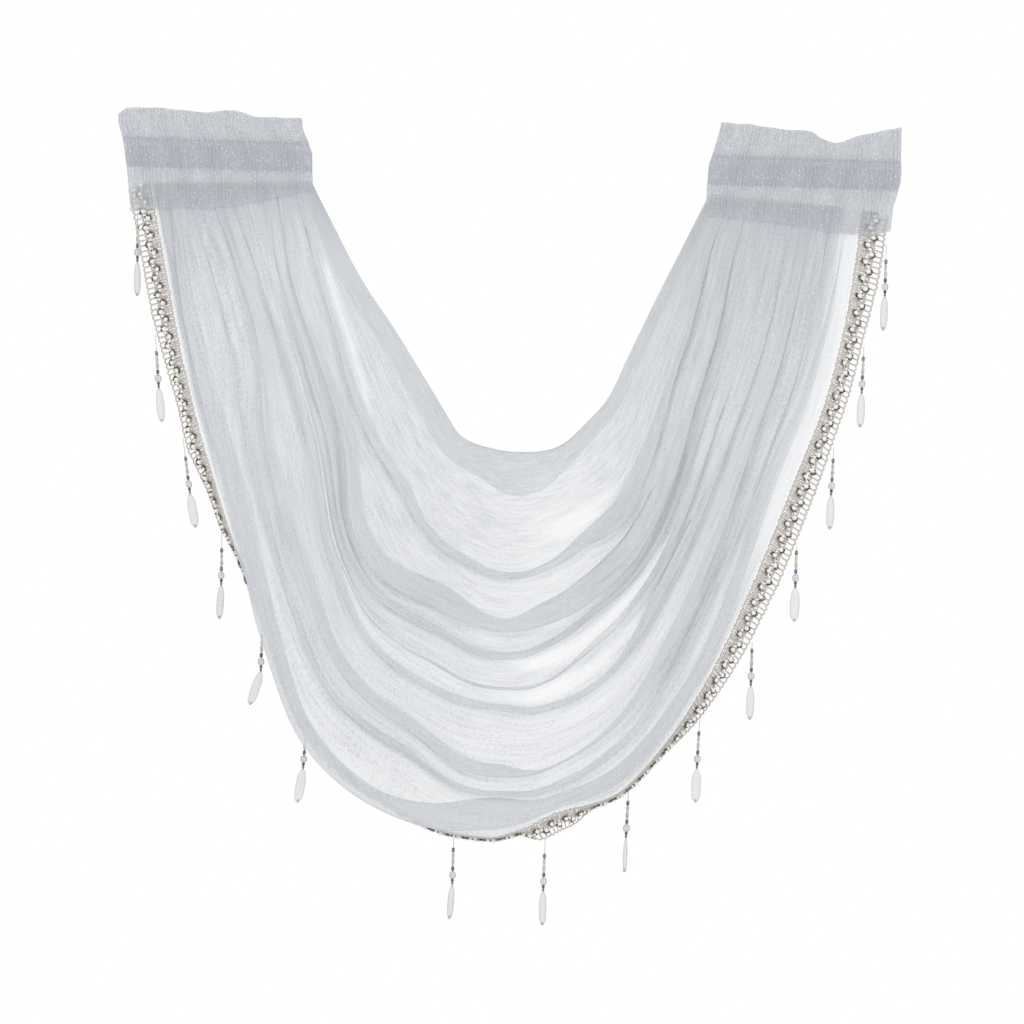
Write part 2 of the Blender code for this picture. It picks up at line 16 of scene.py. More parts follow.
import bpy
import numpy as np
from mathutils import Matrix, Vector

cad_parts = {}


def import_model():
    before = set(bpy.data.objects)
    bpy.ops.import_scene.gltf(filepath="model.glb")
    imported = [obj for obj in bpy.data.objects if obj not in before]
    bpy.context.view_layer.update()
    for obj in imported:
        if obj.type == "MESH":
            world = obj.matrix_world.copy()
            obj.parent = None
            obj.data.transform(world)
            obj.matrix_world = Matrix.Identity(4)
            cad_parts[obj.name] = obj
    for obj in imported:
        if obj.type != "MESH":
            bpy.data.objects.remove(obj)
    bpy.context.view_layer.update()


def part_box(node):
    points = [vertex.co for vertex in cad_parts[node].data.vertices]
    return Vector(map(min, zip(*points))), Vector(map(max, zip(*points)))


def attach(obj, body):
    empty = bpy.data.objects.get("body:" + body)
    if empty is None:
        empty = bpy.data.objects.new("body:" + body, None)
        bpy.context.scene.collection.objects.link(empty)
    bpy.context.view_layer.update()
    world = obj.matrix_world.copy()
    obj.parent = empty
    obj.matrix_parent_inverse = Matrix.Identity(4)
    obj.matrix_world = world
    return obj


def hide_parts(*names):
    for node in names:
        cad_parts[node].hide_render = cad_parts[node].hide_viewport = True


MM = 0.001
BODY = "root"
log = logging.getLogger("valance")

Row = TypeVar("Row")
Colour = tuple[float, float, float]
Pairs = tuple[tuple[float, float], ...]
Piece = bpy.types.Object
Finish = bpy.types.Material
Socket = bpy.types.NodeSocket


class Slot(Enum):
    """Four material slot names, which no piece here is given."""

    VOILE = "voile"
    HEADING = "heading_voile"
    CROCHET = "crochet"
    BEADS = "beads"


def table_of(kind: Callable[..., Row], *rows: tuple) -> tuple[Row, ...]:
    """A table whose rows are all of one kind."""
    return tuple(kind(*row) for row in rows)


class Station(NamedTuple):
    """One rung across the swag: where its top edge and its hem stand, from the origin."""

    name: str
    top_x: float
    top_z: float
    hem_x: float
    hem_z: float


STATIONS = table_of(
    Station,
    ("left heading", -200, -38, -361, -44),
    ("left leg, upper", -177, -81, -344.5, -120),
    ("left leg, middle", -148, -133, -330, -190),
    ("left leg, lower", -111, -186, -312, -262),
    ("left knee", -73, -244, -284, -350),
    ("left turn", -43, -288, -234, -497),
    ("left bowl, upper", -30, -294, -192, -594),
    ("left bowl, lower", -12, -299, -119, -657),
    ("foot, left", 8, -302, -38, -683),
    ("foot, right", 24, -302, 30, -685),
    ("right bowl, lower", 40, -300, 80, -668),
    ("right bowl, upper", 58, -293, 141, -622),
    ("right turn, lower", 82, -270, 203.5, -532),
    ("right turn, upper", 103, -245, 249, -431),
    ("right knee", 125, -195, 290, -322),
    ("right leg, lower", 150, -139, 322, -232),
    ("right leg, upper", 170.5, -96, 340, -142),
    ("right heading", 198, -38, 350, -48),
)

# Where along the swag the columns of its tables are read, from 0 at the left heading to 1 at the right.
COLUMNS = (
    ("left heading", 0.0), ("left leg", 0.094), ("left knee", 0.199), ("left turn", 0.298),
    ("left bowl", 0.427), ("foot", 0.503), ("right bowl", 0.545), ("right rise", 0.60), ("right turn", 0.676),
    ("right knee", 0.82), ("right heading", 1.0),
)
PLACES = tuple(place for _, place in COLUMNS)


class Fold(NamedTuple):
    """One cowl fold, by column: its lip in percent of the way from top edge to hem, and its overlap."""

    name: str
    depth: float
    lip: tuple[float, ...]
    overlap: tuple[float, ...]


# The overlap, in mm, at which a fold has faded out.
FADED = -3

FOLDS = table_of(
    Fold,
    ("first", 9, (10, 21, 33, 29, 31, 33, 32, 31, 36, 26, 12), (-3, 2, 10, 10, 8, 5, 7, 14, 24, 8, -3)),
    ("second", 12, (21, 35, 42, 52, 45, 47, 46, 46, 48, 40, 25), (-3, 3, 14, 18, 24, 14, 24, 27, 26, 6, -3)),
    ("third", 8, (31, 41, 49, 57, 51, 54, 52, 50, 53, 47, 36), (-3, 1, 4, 5, 6, 6, 5, 5, 5, 0, -3)),
    ("right only", 8, (41, 45, 53, 60, 58, 61, 60, 58, 59, 54, 46),
     (-3, -3, -3, -3, -3, -3, -3, 6, 8, 0, -3)),
    ("fifth", 9, (52, 50, 57, 64, 65, 67, 68, 69, 66, 63, 56), (-3, 2, 8, 8, 6, 6, 6, 8, 14, 2, -3)),
    ("sixth", 12, (64, 60, 75, 77, 77, 84, 83, 82, 80, 74, 68), (-3, 3, 10, 14, 14, 13, 0, 4, 14, 3, -3)),
    ("seventh", 9, (77, 74, 83, 85, 83, 89, 89, 89, 86, 83, 79), (-3, 1, 6, 6, 6, 4, 6, 8, 10, 1, -3)),
    ("hem", 12, (89, 95, 95, 100, 100, 98, 94, 97, 97, 92, 91), (-3, 14, 18, 22, 17, 32, 14, 16, 14, 11, -3)),
)

# The turned-over top edge in mm, and the hem edge in percent, for the same columns.
TOP_TURNING = (8, 20, 22, 24, 32, 44, 40, 26, 18, 14, 8)
HEM_EDGE = (100, 100, 100, 98, 98, 100, 95, 100, 100, 100, 100)

# How far the bowl hangs in front of the headings, in mm, against the percent of the way from top edge to hem.
BELLY = ((0, 0), (33, 18), (60, 50), (85, 76), (100, 58))

# The braid's lean out of the cloth's face, in degrees: 0 faces the front and 90 points straight back.
BRAID_LEAN = (
    (0.0, 0), (0.07, 4), (0.096, 20), (0.12, 35), (0.14, 43), (0.167, 38), (0.182, 50), (0.202, 63),
    (0.222, 66), (0.235, 80), (0.25, 92), (0.33, 105), (0.42, 100), (0.47, 86), (0.518, 80), (0.535, 28),
    (0.555, 34), (0.58, 80), (0.618, 79), (0.632, 73), (0.656, 54), (0.68, 41), (0.70, 28), (0.73, 8),
    (1.0, 0),
)

# How wide the braid lies along the same way: it is stretched where the cloth pulls at it.
BRAID_WIDTHS = (
    (0.0, 24), (0.72, 24), (0.765, 26.4), (0.817, 26.4), (0.865, 23), (0.915, 23.2), (0.94, 25.5),
    (0.965, 28.5), (1.0, 29),
)


def smooth_step(value: float) -> float:
    """0 below 0, 1 above 1, and an even ramp between."""
    value = min(max(value, 0.0), 1.0)
    return value * value * (3 - 2 * value)


def curve_shares(u: np.ndarray) -> tuple[np.ndarray, np.ndarray, np.ndarray]:
    """The shares of its start, its leaving pull and its arriving pull in a smooth curve at u."""
    return (1 + 2 * u) * (1 - u) ** 2, u * (1 - u) ** 2, u**2 * (u - 1)


def run_along(points: np.ndarray) -> np.ndarray:
    """How far along their line the points lie."""
    return np.concatenate([[0.0], np.cumsum(np.linalg.norm(np.diff(points, axis=0), axis=1))])


def unit(vectors: np.ndarray) -> np.ndarray:
    """Rows of vectors brought to a length of 1."""
    return vectors / np.linalg.norm(vectors, axis=1, keepdims=True)


@dataclass(frozen=True)
class Table:
    """A short table read by a smooth curve that never overshoots its rows."""

    knots: tuple[float, ...]
    values: tuple[float, ...]

    @classmethod
    def of_pairs(cls, pairs: Pairs) -> "Table":
        """A table from rows of (place, value)."""
        return cls(*zip(*pairs))

    @cached_property
    def slopes(self) -> np.ndarray:
        """The slope at each row."""
        rises = np.diff(self.values) / np.diff(self.knots)
        slopes = np.zeros(len(self.knots))
        slopes[0], slopes[-1] = rises[0], rises[-1]
        same_way = rises[:-1] * rises[1:] > 0
        both = rises[:-1] + rises[1:]
        slopes[1:-1][same_way] = 2 * (rises[:-1] * rises[1:])[same_way] / both[same_way]
        return slopes

    def at(self, place: float | np.ndarray) -> np.ndarray:
        """The value at one place or many."""
        knots, values = np.asarray(self.knots, float), np.asarray(self.values, float)
        place = np.asarray(place, float)
        i = np.clip(np.searchsorted(knots, place, side="right") - 1, 0, len(knots) - 2)
        step = knots[i + 1] - knots[i]
        start, leave, arrive = curve_shares((place - knots[i]) / step)
        between = values[i] * start + values[i + 1] * (1 - start)
        return between + self.slopes[i] * (leave * step) + self.slopes[i + 1] * (arrive * step)


class Bend(NamedTuple):
    """A point that the cross-section passes: its place and pull, and the steps to the next bend."""

    across: float
    depth: float
    pull_across: float
    pull_depth: float
    steps: int
    crowding: float = 1.0


@dataclass(frozen=True)
class Steps:
    """How finely each stretch of the swag's cross-section is divided, with more points close to the lips."""

    turning: int = 10
    crown: int = 16
    lip: int = 9
    tuck: int = 4
    panel: int = 17
    hem: int = 9
    towards_lip: float = 1.7
    from_lip: float = 0.65


@dataclass(frozen=True)
class SwagForm:
    """The swag's folded surface: cross-sections from the top edge to the hem, strung along the U."""

    steps: Steps = field(default_factory=Steps)
    under_lip: float = 3.0 * MM
    under_share: float = 0.75
    turn_pull: float = 18.0 * MM
    full_overlap: float = 4.0
    panel_pull: float = 0.8
    hem_setback: float = 9.0 * MM
    hem_pull: float = 10.0 * MM
    turning_back: float = 5.0 * MM
    caught_share: float = 0.18
    caught_until: float = 0.03
    caught_ramp: float = 0.07
    caught_forward: float = 1.0 * MM
    belly_taper: float = 2.2

    @cached_property
    def tables(self) -> dict[str, Table]:
        """The tables read along the swag: its edges, its folds, its turnings and the braid."""
        run = run_along(np.array([(row.hem_x, row.hem_z) for row in STATIONS], float))
        stations = tuple(run / run[-1])
        edges = dict(zip(Station._fields, zip(*STATIONS)))
        tables = {edge: Table(stations, edges[edge]) for edge in Station._fields[1:]}
        tables |= {"turning": Table(PLACES, TOP_TURNING), "hem": Table(PLACES, HEM_EDGE)}
        for fold in FOLDS:
            tables["lip " + fold.name] = Table(PLACES, fold.lip)
            tables["overlap " + fold.name] = Table(PLACES, fold.overlap)
        for name, pairs in (("belly", BELLY), ("lean", BRAID_LEAN), ("braid width", BRAID_WIDTHS)):
            tables[name] = Table.of_pairs(pairs)
        return tables

    def read(self, name: str, place: float) -> float:
        """One number of the tables read along the swag."""
        return float(self.tables[name].at(place))

    def top_edge(self, t: float) -> np.ndarray:
        """The swag's top edge at t, as (x, z) in metres."""
        return np.array([self.read("top_x", t), self.read("top_z", t)]) * MM

    def hem_line(self, t: float) -> np.ndarray:
        """The line of the swag's lowest lip or hem at t, as (x, z) in metres."""
        return np.array([self.read("hem_x", t), self.read("hem_z", t)]) * MM

    def width(self, t: float) -> float:
        """The way from the top edge to the hem at t."""
        return float(np.linalg.norm(self.hem_line(t) - self.top_edge(t)))

    def free(self, t: float) -> float:
        """0 where the cloth is caught flat in a heading, 1 where its folds stand free."""
        return smooth_step((min(t, 1 - t) - self.caught_until) / self.caught_ramp)

    def base_depth(self, t: float, percent: float) -> float:
        """Where the face of the swag stands in Y, at a percent of the way from top edge to hem."""
        swell = math.sin(math.pi * min(max(t, 0.0), 1.0)) ** self.belly_taper
        return -self.read("belly", percent) * MM * swell - self.caught_forward * (1 - self.free(t))

    def lean(self, t: float) -> float:
        """The braid's lean at t, in radians."""
        return math.radians(self.read("lean", t))

    def hem_edge(self, t: float) -> tuple[float, float]:
        """Where the hem edge lies in the cross-section at t, as (across, depth)."""
        free = self.caught_share + (1 - self.caught_share) * self.free(t)
        depth = self.base_depth(t, self.read("lip hem", t)) + self.hem_setback * free
        return self.read("hem", t) / 100 * self.width(t), depth

    def bends(self, t: float) -> list[Bend]:
        """The bends of the cross-section at t, from the raw top edge over crown and folds to the hem."""
        steps = self.steps
        width = self.width(t)
        caught = 1 - self.free(t)
        free = self.caught_share + (1 - self.caught_share) * (1 - caught)
        turning = self.read("turning", t) * MM
        crown = self.base_depth(t, 0)
        bends = [
            Bend(turning, crown + self.turning_back * free, -turning * self.panel_pull, 0.0, steps.turning),
            Bend(0.0, crown, 0.0, -self.turn_pull * free, steps.crown, steps.towards_lip),
        ]
        for fold in FOLDS:
            percent = self.read("lip " + fold.name, t)
            kept = self.kept(fold, t)
            lip = percent / 100 * width
            tucked = lip - self.read("overlap " + fold.name, t) * MM
            face = self.base_depth(t, percent)
            depth = fold.depth * MM * max(kept * free, self.caught_share * caught)
            pulls = self.under_lip * (1 - kept), self.turn_pull * max(kept, caught) * free
            bends += [
                Bend(lip, face, *pulls, steps.lip, steps.from_lip),
                Bend(tucked, face + depth, *pulls, steps.tuck),
            ]
            if fold is not FOLDS[-1]:
                under, back = self.under_lip * (2 - kept), depth * self.under_share
                pull = width / len(FOLDS) * self.panel_pull
                bends.append(Bend(lip + under, face + back, pull, 0.0, steps.panel, steps.towards_lip))
        bends[-1] = bends[-1]._replace(steps=steps.hem)
        lean = self.lean(t)
        last_pulls = self.hem_pull * math.cos(lean), self.hem_pull * math.sin(lean)
        return [*bends, Bend(*self.hem_edge(t), *last_pulls, 0)]

    def lip_columns(self) -> list[int]:
        """Which point of every cross-section is the lip of each fold."""
        first = self.steps.turning + self.steps.crown
        each = self.steps.lip + self.steps.tuck + self.steps.panel
        return [first + each * number for number in range(len(FOLDS))]

    def kept(self, fold: Fold, t: float) -> float:
        """How sharply a fold stands at t: 0 where it is faded out, 1 where it is whole."""
        return smooth_step((self.read("overlap " + fold.name, t) - FADED) / (self.full_overlap - FADED))

    def section(self, t: float) -> np.ndarray:
        """The points of the cross-section at t, as rows of (across, depth)."""
        bends = self.bends(t)
        points = []
        for here, there in zip(bends, bends[1:]):
            start, leave, arrive = curve_shares(1 - (1 - np.arange(here.steps) / here.steps) ** here.crowding)
            pairs = [
                here[axis] * start + there[axis] * (1 - start)
                + here[axis + 2] * leave + there[axis + 2] * arrive
                for axis in (0, 1)
            ]
            points.append(np.stack(pairs, axis=1))
        return np.concatenate([*points, np.array([bends[-1][:2]])])

    def in_space(self, t: float, flat: np.ndarray) -> np.ndarray:
        """Turns places in the cross-section at t into points in space.

        Args:
            t: The place along the swag.
            flat: Rows of (across, depth).

        Returns:
            Rows of (x, y, z).
        """
        top, hem = self.top_edge(t), self.hem_line(t)
        way = (hem - top) / np.linalg.norm(hem - top)
        flat = np.atleast_2d(flat)
        return np.stack([top[0] + way[0] * flat[:, 0], flat[:, 1], top[1] + way[1] * flat[:, 0]], axis=1)


class Bench:
    """Lays out one material's nodes."""

    # The range in which most of a noise lies.
    SPREAD = (0.3, 0.7)

    def __init__(self, name: str) -> None:
        """Starts a material with an empty Principled shader."""
        self.material = bpy.data.materials.new(name)
        self.material.use_nodes = True
        self.tree = self.material.node_tree

    def fill(self, node: bpy.types.Node, inputs: dict[str | int, object]) -> bpy.types.Node:
        """Links each of a node's inputs to a socket, or sets it to a plain value or colour."""
        for name, value in inputs.items():
            target = node.inputs[name]
            if isinstance(value, Socket):
                self.tree.links.new(value, target)
            else:
                target.default_value = (*value, 1.0) if target.type == "RGBA" else value
        return node

    def node(self, kind: str, inputs: dict[str | int, object], **settings: object) -> bpy.types.Node:
        """Adds a node, sets its properties and fills its inputs."""
        made = self.tree.nodes.new("ShaderNode" + kind)
        for name, value in settings.items():
            setattr(made, name, value)
        return self.fill(made, inputs)

    def maths(self, operation: str, first: object, second: object) -> Socket:
        """The result of one sum."""
        return self.node("Math", {0: first, 1: second}, operation=operation).outputs[0]

    def product(self, first: object, second: object) -> Socket:
        """Two numbers multiplied."""
        return self.maths("MULTIPLY", first, second)

    def scaled(self, coordinates: Socket, scale: Sequence[float]) -> Socket:
        """Coordinates stretched by a Mapping node."""
        return self.node("Mapping", {"Vector": coordinates, "Scale": scale}).outputs["Vector"]

    def noise(self, coordinates: Socket, scale: Sequence[float], detail: float = 2.0) -> Socket:
        """Noise between 0 and 1, with its own scale on each axis."""
        inputs = {"Vector": self.scaled(coordinates, scale), "Scale": 1.0, "Detail": detail}
        return self.node("TexNoise", inputs).outputs["Fac"]

    def ramp(self, source: Socket, low: float, high: float, start: float = 0.0, end: float = 1.0) -> Socket:
        """Maps low to start and high to end, and holds beyond them."""
        inputs = {"Value": source, "From Min": low, "From Max": high, "To Min": start, "To Max": end}
        return self.node("MapRange", inputs, clamp=True).outputs["Result"]

    def uneven(self, value: Socket, *noises: tuple[Socket, float, float]) -> Socket:
        """A number made uneven by noises, each with the shares that it swings between."""
        for source, low, high in noises:
            value = self.product(value, self.ramp(source, *self.SPREAD, low, high))
        return value

    def blend(self, share: Socket, first: object, second: object) -> Socket:
        """A mix of two colours."""
        mix = self.node("Mix", {"Factor": share, "A": first, "B": second}, data_type="RGBA")
        return mix.outputs["Result"]

    def coordinates(self, output: str) -> Socket:
        """Object or UV coordinates."""
        return self.node("TexCoord", {}).outputs[output]

    def attribute(self, name: str) -> Socket:
        """A number that the mesh carries at each point."""
        return self.node("Attribute", {}, attribute_name=name).outputs["Fac"]

    def relief(self, height: Socket, distance: float, strength: float) -> Socket:
        """The way that a surface bumped by a height between 0 and 1 looks."""
        bump = self.node("Bump", {"Strength": strength, "Distance": distance, "Height": height})
        return bump.outputs["Normal"]

    def finished(self, inputs: dict[str | int, object]) -> Finish:
        """The material, with its shader's inputs filled."""
        self.fill(self.tree.nodes["Principled BSDF"], inputs)
        return self.material


WHITE = (1.0, 1.0, 1.0)

# How many metres of cloth one turn of the UV map holds.
UV_METRES = 2.0


def stretch(across: float, along: float) -> tuple[float, float, float]:
    """The noise scale on the UV map that gives a size across and along the cloth, in metres."""
    return UV_METRES / across, UV_METRES / along, 1.0


@dataclass(frozen=True)
class Voile:
    """Sheer crinkled voile, whose cover grows where it is gathered or lies edge-on in a fold.

    Sizes are in metres, across and along the cloth. cover is how much one flat layer hides.
    """

    name: str
    cover: float = 0.34
    pale: Colour = (0.94, 0.951, 0.972)
    deep: Colour = (0.33, 0.358, 0.415)
    streak_size: tuple[float, float] = (7.0 * MM, 90.0 * MM)
    finer: tuple[float, float] = (2.6, 2.2)
    weft_size: tuple[float, float] = (18.0 * MM, 1.7 * MM)
    grain_size: tuple[float, float] = (1.9 * MM, 2.6 * MM)
    grain: float = 0.2
    relief: float = 0.7 * MM
    roughness: float = 0.6
    sheen: float = 0.45
    sheen_roughness: float = 0.35
    glint_share: float = 0.1
    glint_size: tuple[float, float] = (2.2 * MM, 3.0 * MM)
    glint_reach: tuple[float, float] = (0.34, 0.14)
    glint_glow: float = 0.12
    glint_cover: float = 0.85
    glint_colour: Colour = (0.95, 0.97, 1.0)
    drift_size: float = 24.0 * MM
    drift_ramp: tuple[float, float, float, float] = (0.36, 0.56, 0.35, 1.0)

    def material(self) -> Finish:
        """The finish, reading the cloth's own UV map in threads and its two attributes, layers and shade."""
        bench = Bench(self.name)
        uv = bench.coordinates("UV")
        streaks = bench.noise(uv, stretch(*self.streak_size), 3.0)
        finer = [size / times for size, times in zip(self.streak_size, self.finer)]
        fine = bench.noise(uv, stretch(*finer), 1.0)
        weft = bench.noise(uv, stretch(*self.weft_size))
        grain = bench.noise(uv, stretch(*self.grain_size), 1.0)
        thickness = (streaks, 0.8, 1.25), (fine, 0.88, 1.12), (weft, 0.9, 1.1), (grain, 0.85, 1.15)
        layers = bench.uneven(bench.attribute("cloth_layers"), *thickness)
        lightness = (streaks, 1.06, 0.94), (fine, 1.16, 0.84), (grain, 1 + self.grain, 1 - self.grain)
        # The shade attribute holds the cloth's tone, with painted shade along the lips, painted highlights
        # before them, and painted light in the tucks, the tails and the headings' edges and pleats.
        tone = bench.uneven(bench.attribute("cloth_shade"), *lightness)
        glint = self.glints(bench, uv)
        hidden = bench.maths("SUBTRACT", 1.0, bench.maths("POWER", 1 - self.cover, layers))
        height = bench.maths("ADD", bench.product(streaks, 0.5), bench.product(fine, 0.5))
        # The glints are painted highlights: a pale colour, more cover and a glow.
        return bench.finished(
            {
                "Base Color": bench.blend(glint, bench.blend(tone, self.deep, self.pale), self.glint_colour),
                "Alpha": bench.maths("MAXIMUM", hidden, bench.product(glint, self.glint_cover)),
                "Roughness": self.roughness,
                "Emission Color": WHITE,
                "Emission Strength": bench.product(glint, self.glint_glow),
                "Sheen Weight": self.sheen,
                "Sheen Roughness": self.sheen_roughness,
                "Normal": bench.relief(height, self.relief, 0.5),
            }
        )

    def glints(self, bench: Bench, uv: Socket) -> Socket:
        """Painted highlights where the metal thread in the cloth catches the light: small dashes along some of
        the threads.
        """
        inputs = {"Vector": bench.scaled(uv, stretch(*self.glint_size)), "Scale": 1.0}
        cells = bench.node("TexVoronoi", inputs, feature="F1")
        chance = bench.node("SeparateColor", {"Color": cells.outputs["Color"]}).outputs["Red"]
        limit = 1 - self.glint_share
        rare = bench.ramp(chance, limit, limit + 0.5 * self.glint_share)
        drifts = bench.noise(uv, stretch(self.drift_size, self.drift_size))
        rare = bench.product(rare, bench.ramp(drifts, *self.drift_ramp))
        return bench.product(rare, bench.ramp(cells.outputs["Distance"], *self.glint_reach))


@dataclass(frozen=True)
class Yarn:
    """Twisted crochet cotton: mottled ivory, with painted shade between its strands and their twist as relief.
    """

    name: str
    light: Colour = (0.97, 0.95, 0.90)
    shade: Colour = (0.66, 0.61, 0.54)
    strand: float = 0.7 * MM
    patch: float = 9
    relief: float = 0.25 * MM

    def material(self) -> Finish:
        """The finish."""
        bench = Bench(self.name)
        place = bench.coordinates("Object")
        grain = 1 / self.strand
        twist = bench.noise(place, (grain,) * 3, 3.0)
        mottle = bench.noise(place, (grain / self.patch,) * 3)
        # Darker where the twist's relief is low: painted shade between the strands; the mottle is random.
        share = bench.product(bench.ramp(twist, 0.35, 0.65), bench.ramp(mottle, 0.25, 0.7, 0.45, 1.0))
        colour = bench.blend(share, self.shade, self.light)
        bump = bench.relief(twist, self.relief, 0.6)
        return bench.finished({"Base Color": colour, "Roughness": 0.85, "Sheen Weight": 0.3, "Normal": bump})


@dataclass(frozen=True)
class BeadGloss:
    """A small bead of plated metal, pearl or tinted glass, slightly uneven from bead to bead."""

    name: str
    light: Colour
    dark: Colour
    metallic: float
    roughness: float
    patches: float = 420.0

    def material(self) -> Finish:
        """The finish."""
        bench = Bench(self.name)
        patches = bench.noise(bench.coordinates("Object"), (self.patches,) * 3)
        colour = bench.blend(bench.ramp(patches, 0.35, 0.65), self.dark, self.light)
        rough = bench.ramp(patches, *bench.SPREAD, self.roughness * 0.7, self.roughness * 1.4)
        return bench.finished({"Base Color": colour, "Metallic": self.metallic, "Roughness": rough})


@dataclass(frozen=True)
class ClearGlass:
    """Clear pressed glass, light in the middle where it is seen through: its darker rim is painted shade by
    facing.
    """

    name: str
    middle: Colour
    rim: Colour
    middle_cover: float
    rim_cover: float
    rim_from: float
    rim_at: float = 0.85
    roughness: float = 0.12
    # A painted glow: the glass gives off light, though it is no lamp.
    glow: float = 0.0

    def material(self) -> Finish:
        """The finish."""
        bench = Bench(self.name)
        # The rim's darker colour is painted shade, laid on by how far the surface faces the eye.
        edge = bench.ramp(bench.node("LayerWeight", {}).outputs["Facing"], self.rim_from, self.rim_at)
        return bench.finished(
            {
                "Base Color": bench.blend(edge, self.middle, self.rim),
                "Alpha": bench.ramp(edge, 0.0, 1.0, self.middle_cover, self.rim_cover),
                "Roughness": self.roughness,
                "Emission Color": WHITE,
                "Emission Strength": self.glow,
            }
        )


SWAG_VOILE = Voile("sheer_voile")
HEADING_VOILE = Voile(
    "gathered_voile",
    cover=0.5,
    streak_size=(3.4 * MM, 30.0 * MM),
    grain=0.3,
    glint_share=0.8,
    glint_size=(2.3 * MM, 2.6 * MM),
    glint_glow=0.16,
)
CROCHET_YARN = Yarn("ivory_crochet")
SEWING_THREAD = Yarn("sewing_thread", light=(0.80, 0.82, 0.86), shade=(0.62, 0.64, 0.70), strand=0.2 * MM)
BRONZE_BEAD = BeadGloss("bronze_bead", (0.34, 0.26, 0.17), (0.10, 0.07, 0.045), 0.6, 0.3)
SILVER_BEAD = BeadGloss("silver_bead", (0.80, 0.80, 0.80), (0.40, 0.41, 0.42), 0.9, 0.25)
STEEL_BEAD = BeadGloss("blue_grey_bead", (0.33, 0.36, 0.48), (0.10, 0.11, 0.18), 0.5, 0.25)
SMOKY_BEAD = BeadGloss("smoky_bead", (0.48, 0.46, 0.43), (0.17, 0.16, 0.15), 0.5, 0.25)
TAN_BUGLE = BeadGloss("tan_bugle", (0.86, 0.82, 0.73), (0.64, 0.58, 0.48), 0.0, 0.2)
# The braid's clear beads glow a little: painted light.
BRAID_GLASS = ClearGlass("clear_braid_bead", (1.0, 1.0, 0.99), (0.60, 0.56, 0.48), 0.9, 1.0, 0.6, glow=0.16)
BALL_GLASS = ClearGlass("clear_ball", (0.97, 0.97, 1.0), (0.20, 0.22, 0.33), 0.5, 1.0, 0.2)
PENDANT_GLASS = ClearGlass("clear_pendant", (0.91, 0.90, 0.88), (0.66, 0.65, 0.62), 0.34, 0.7, 0.15)
BRAID_FINISHES = (BRONZE_BEAD, SILVER_BEAD, BRAID_GLASS)
DROP_FINISHES = (SEWING_THREAD, SMOKY_BEAD, TAN_BUGLE, STEEL_BEAD, PENDANT_GLASS, BALL_GLASS, BRONZE_BEAD)


class Pattern(NamedTuple):
    """A shape modelled once and kept to be copied."""

    points: np.ndarray
    faces: list[tuple[int, ...]]

    @property
    def lying(self) -> np.ndarray:
        """Its points, laid down from Z to X."""
        return self.points[:, [2, 1, 0]]


def let_go() -> None:
    """Deselects everything, in object mode."""
    if bpy.context.mode != "OBJECT":
        bpy.ops.object.mode_set(mode="OBJECT")
    bpy.ops.object.select_all(action="DESELECT")


def open_for_edits() -> None:
    """Opens the active object for edits, with all of it selected."""
    bpy.ops.object.mode_set(mode="EDIT")
    bpy.ops.mesh.select_all(action="SELECT")


def kept_as_pattern() -> Pattern:
    """Takes the active object's shape as a pattern and removes the object."""
    let_go()
    piece = bpy.context.view_layer.objects.active
    mesh = piece.data
    points = np.array([piece.matrix_world @ vertex.co for vertex in mesh.vertices])
    faces = [tuple(face.vertices) for face in mesh.polygons]
    bpy.data.objects.remove(piece, do_unlink=True)
    bpy.data.meshes.remove(mesh)
    return Pattern(points, faces)


def drawn_out(profile: Sequence[tuple[float, float]], sides: int, flatness: float) -> Pattern:
    """Draws a closed shape out of a disc, ring by ring.

    Args:
        profile: Rows of (radius, down) in metres, from the top to the bottom.
        sides: How many sides the shape has.
        flatness: How deep it is for its width.

    Returns:
        The shape, hanging from the origin.
    """
    let_go()
    radius, down = profile[0]
    bpy.ops.mesh.primitive_circle_add(vertices=sides, radius=radius, fill_type="NGON", location=(0, 0, -down))
    open_for_edits()
    for (before, above), (after, below) in zip(profile, profile[1:]):
        bpy.ops.mesh.extrude_region_move(TRANSFORM_OT_translate={"value": (0, 0, above - below)})
        bpy.ops.transform.resize(value=(after / before, after / before, 1))
    bpy.ops.mesh.select_all(action="SELECT")
    bpy.ops.mesh.normals_make_consistent(inside=False)
    shape = kept_as_pattern()
    return Pattern(shape.points * (1, flatness, 1), shape.faces)


def round_bead(radius: float, length: float, segments: int, rings: int) -> Pattern:
    """A bead about the origin, as long as is said along Z."""
    let_go()
    bpy.ops.mesh.primitive_uv_sphere_add(segments=segments, ring_count=rings, radius=radius)
    open_for_edits()
    bpy.ops.transform.resize(value=(1, 1, length / (2 * radius)))
    return kept_as_pattern()


def new_piece(name: str, points: np.ndarray, faces: Sequence[tuple[int, ...]]) -> Piece:
    """Links a new mesh object into the scene."""
    mesh = bpy.data.meshes.new(name)
    mesh.from_pydata(points.tolist(), [], list(faces))
    made = bpy.data.objects.new(name, mesh)
    bpy.context.scene.collection.objects.link(made)
    return made


def dress(piece: Piece, nodes: Sequence[str] = ()) -> Piece:
    """Sets what a piece rides on, hides the parts that it stands for, and logs it."""
    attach(piece, BODY)
    if nodes:
        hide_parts(*nodes)
    piece.data.calc_loop_triangles()
    log.info("%s: %d triangles", piece.name, len(piece.data.loop_triangles))
    return piece


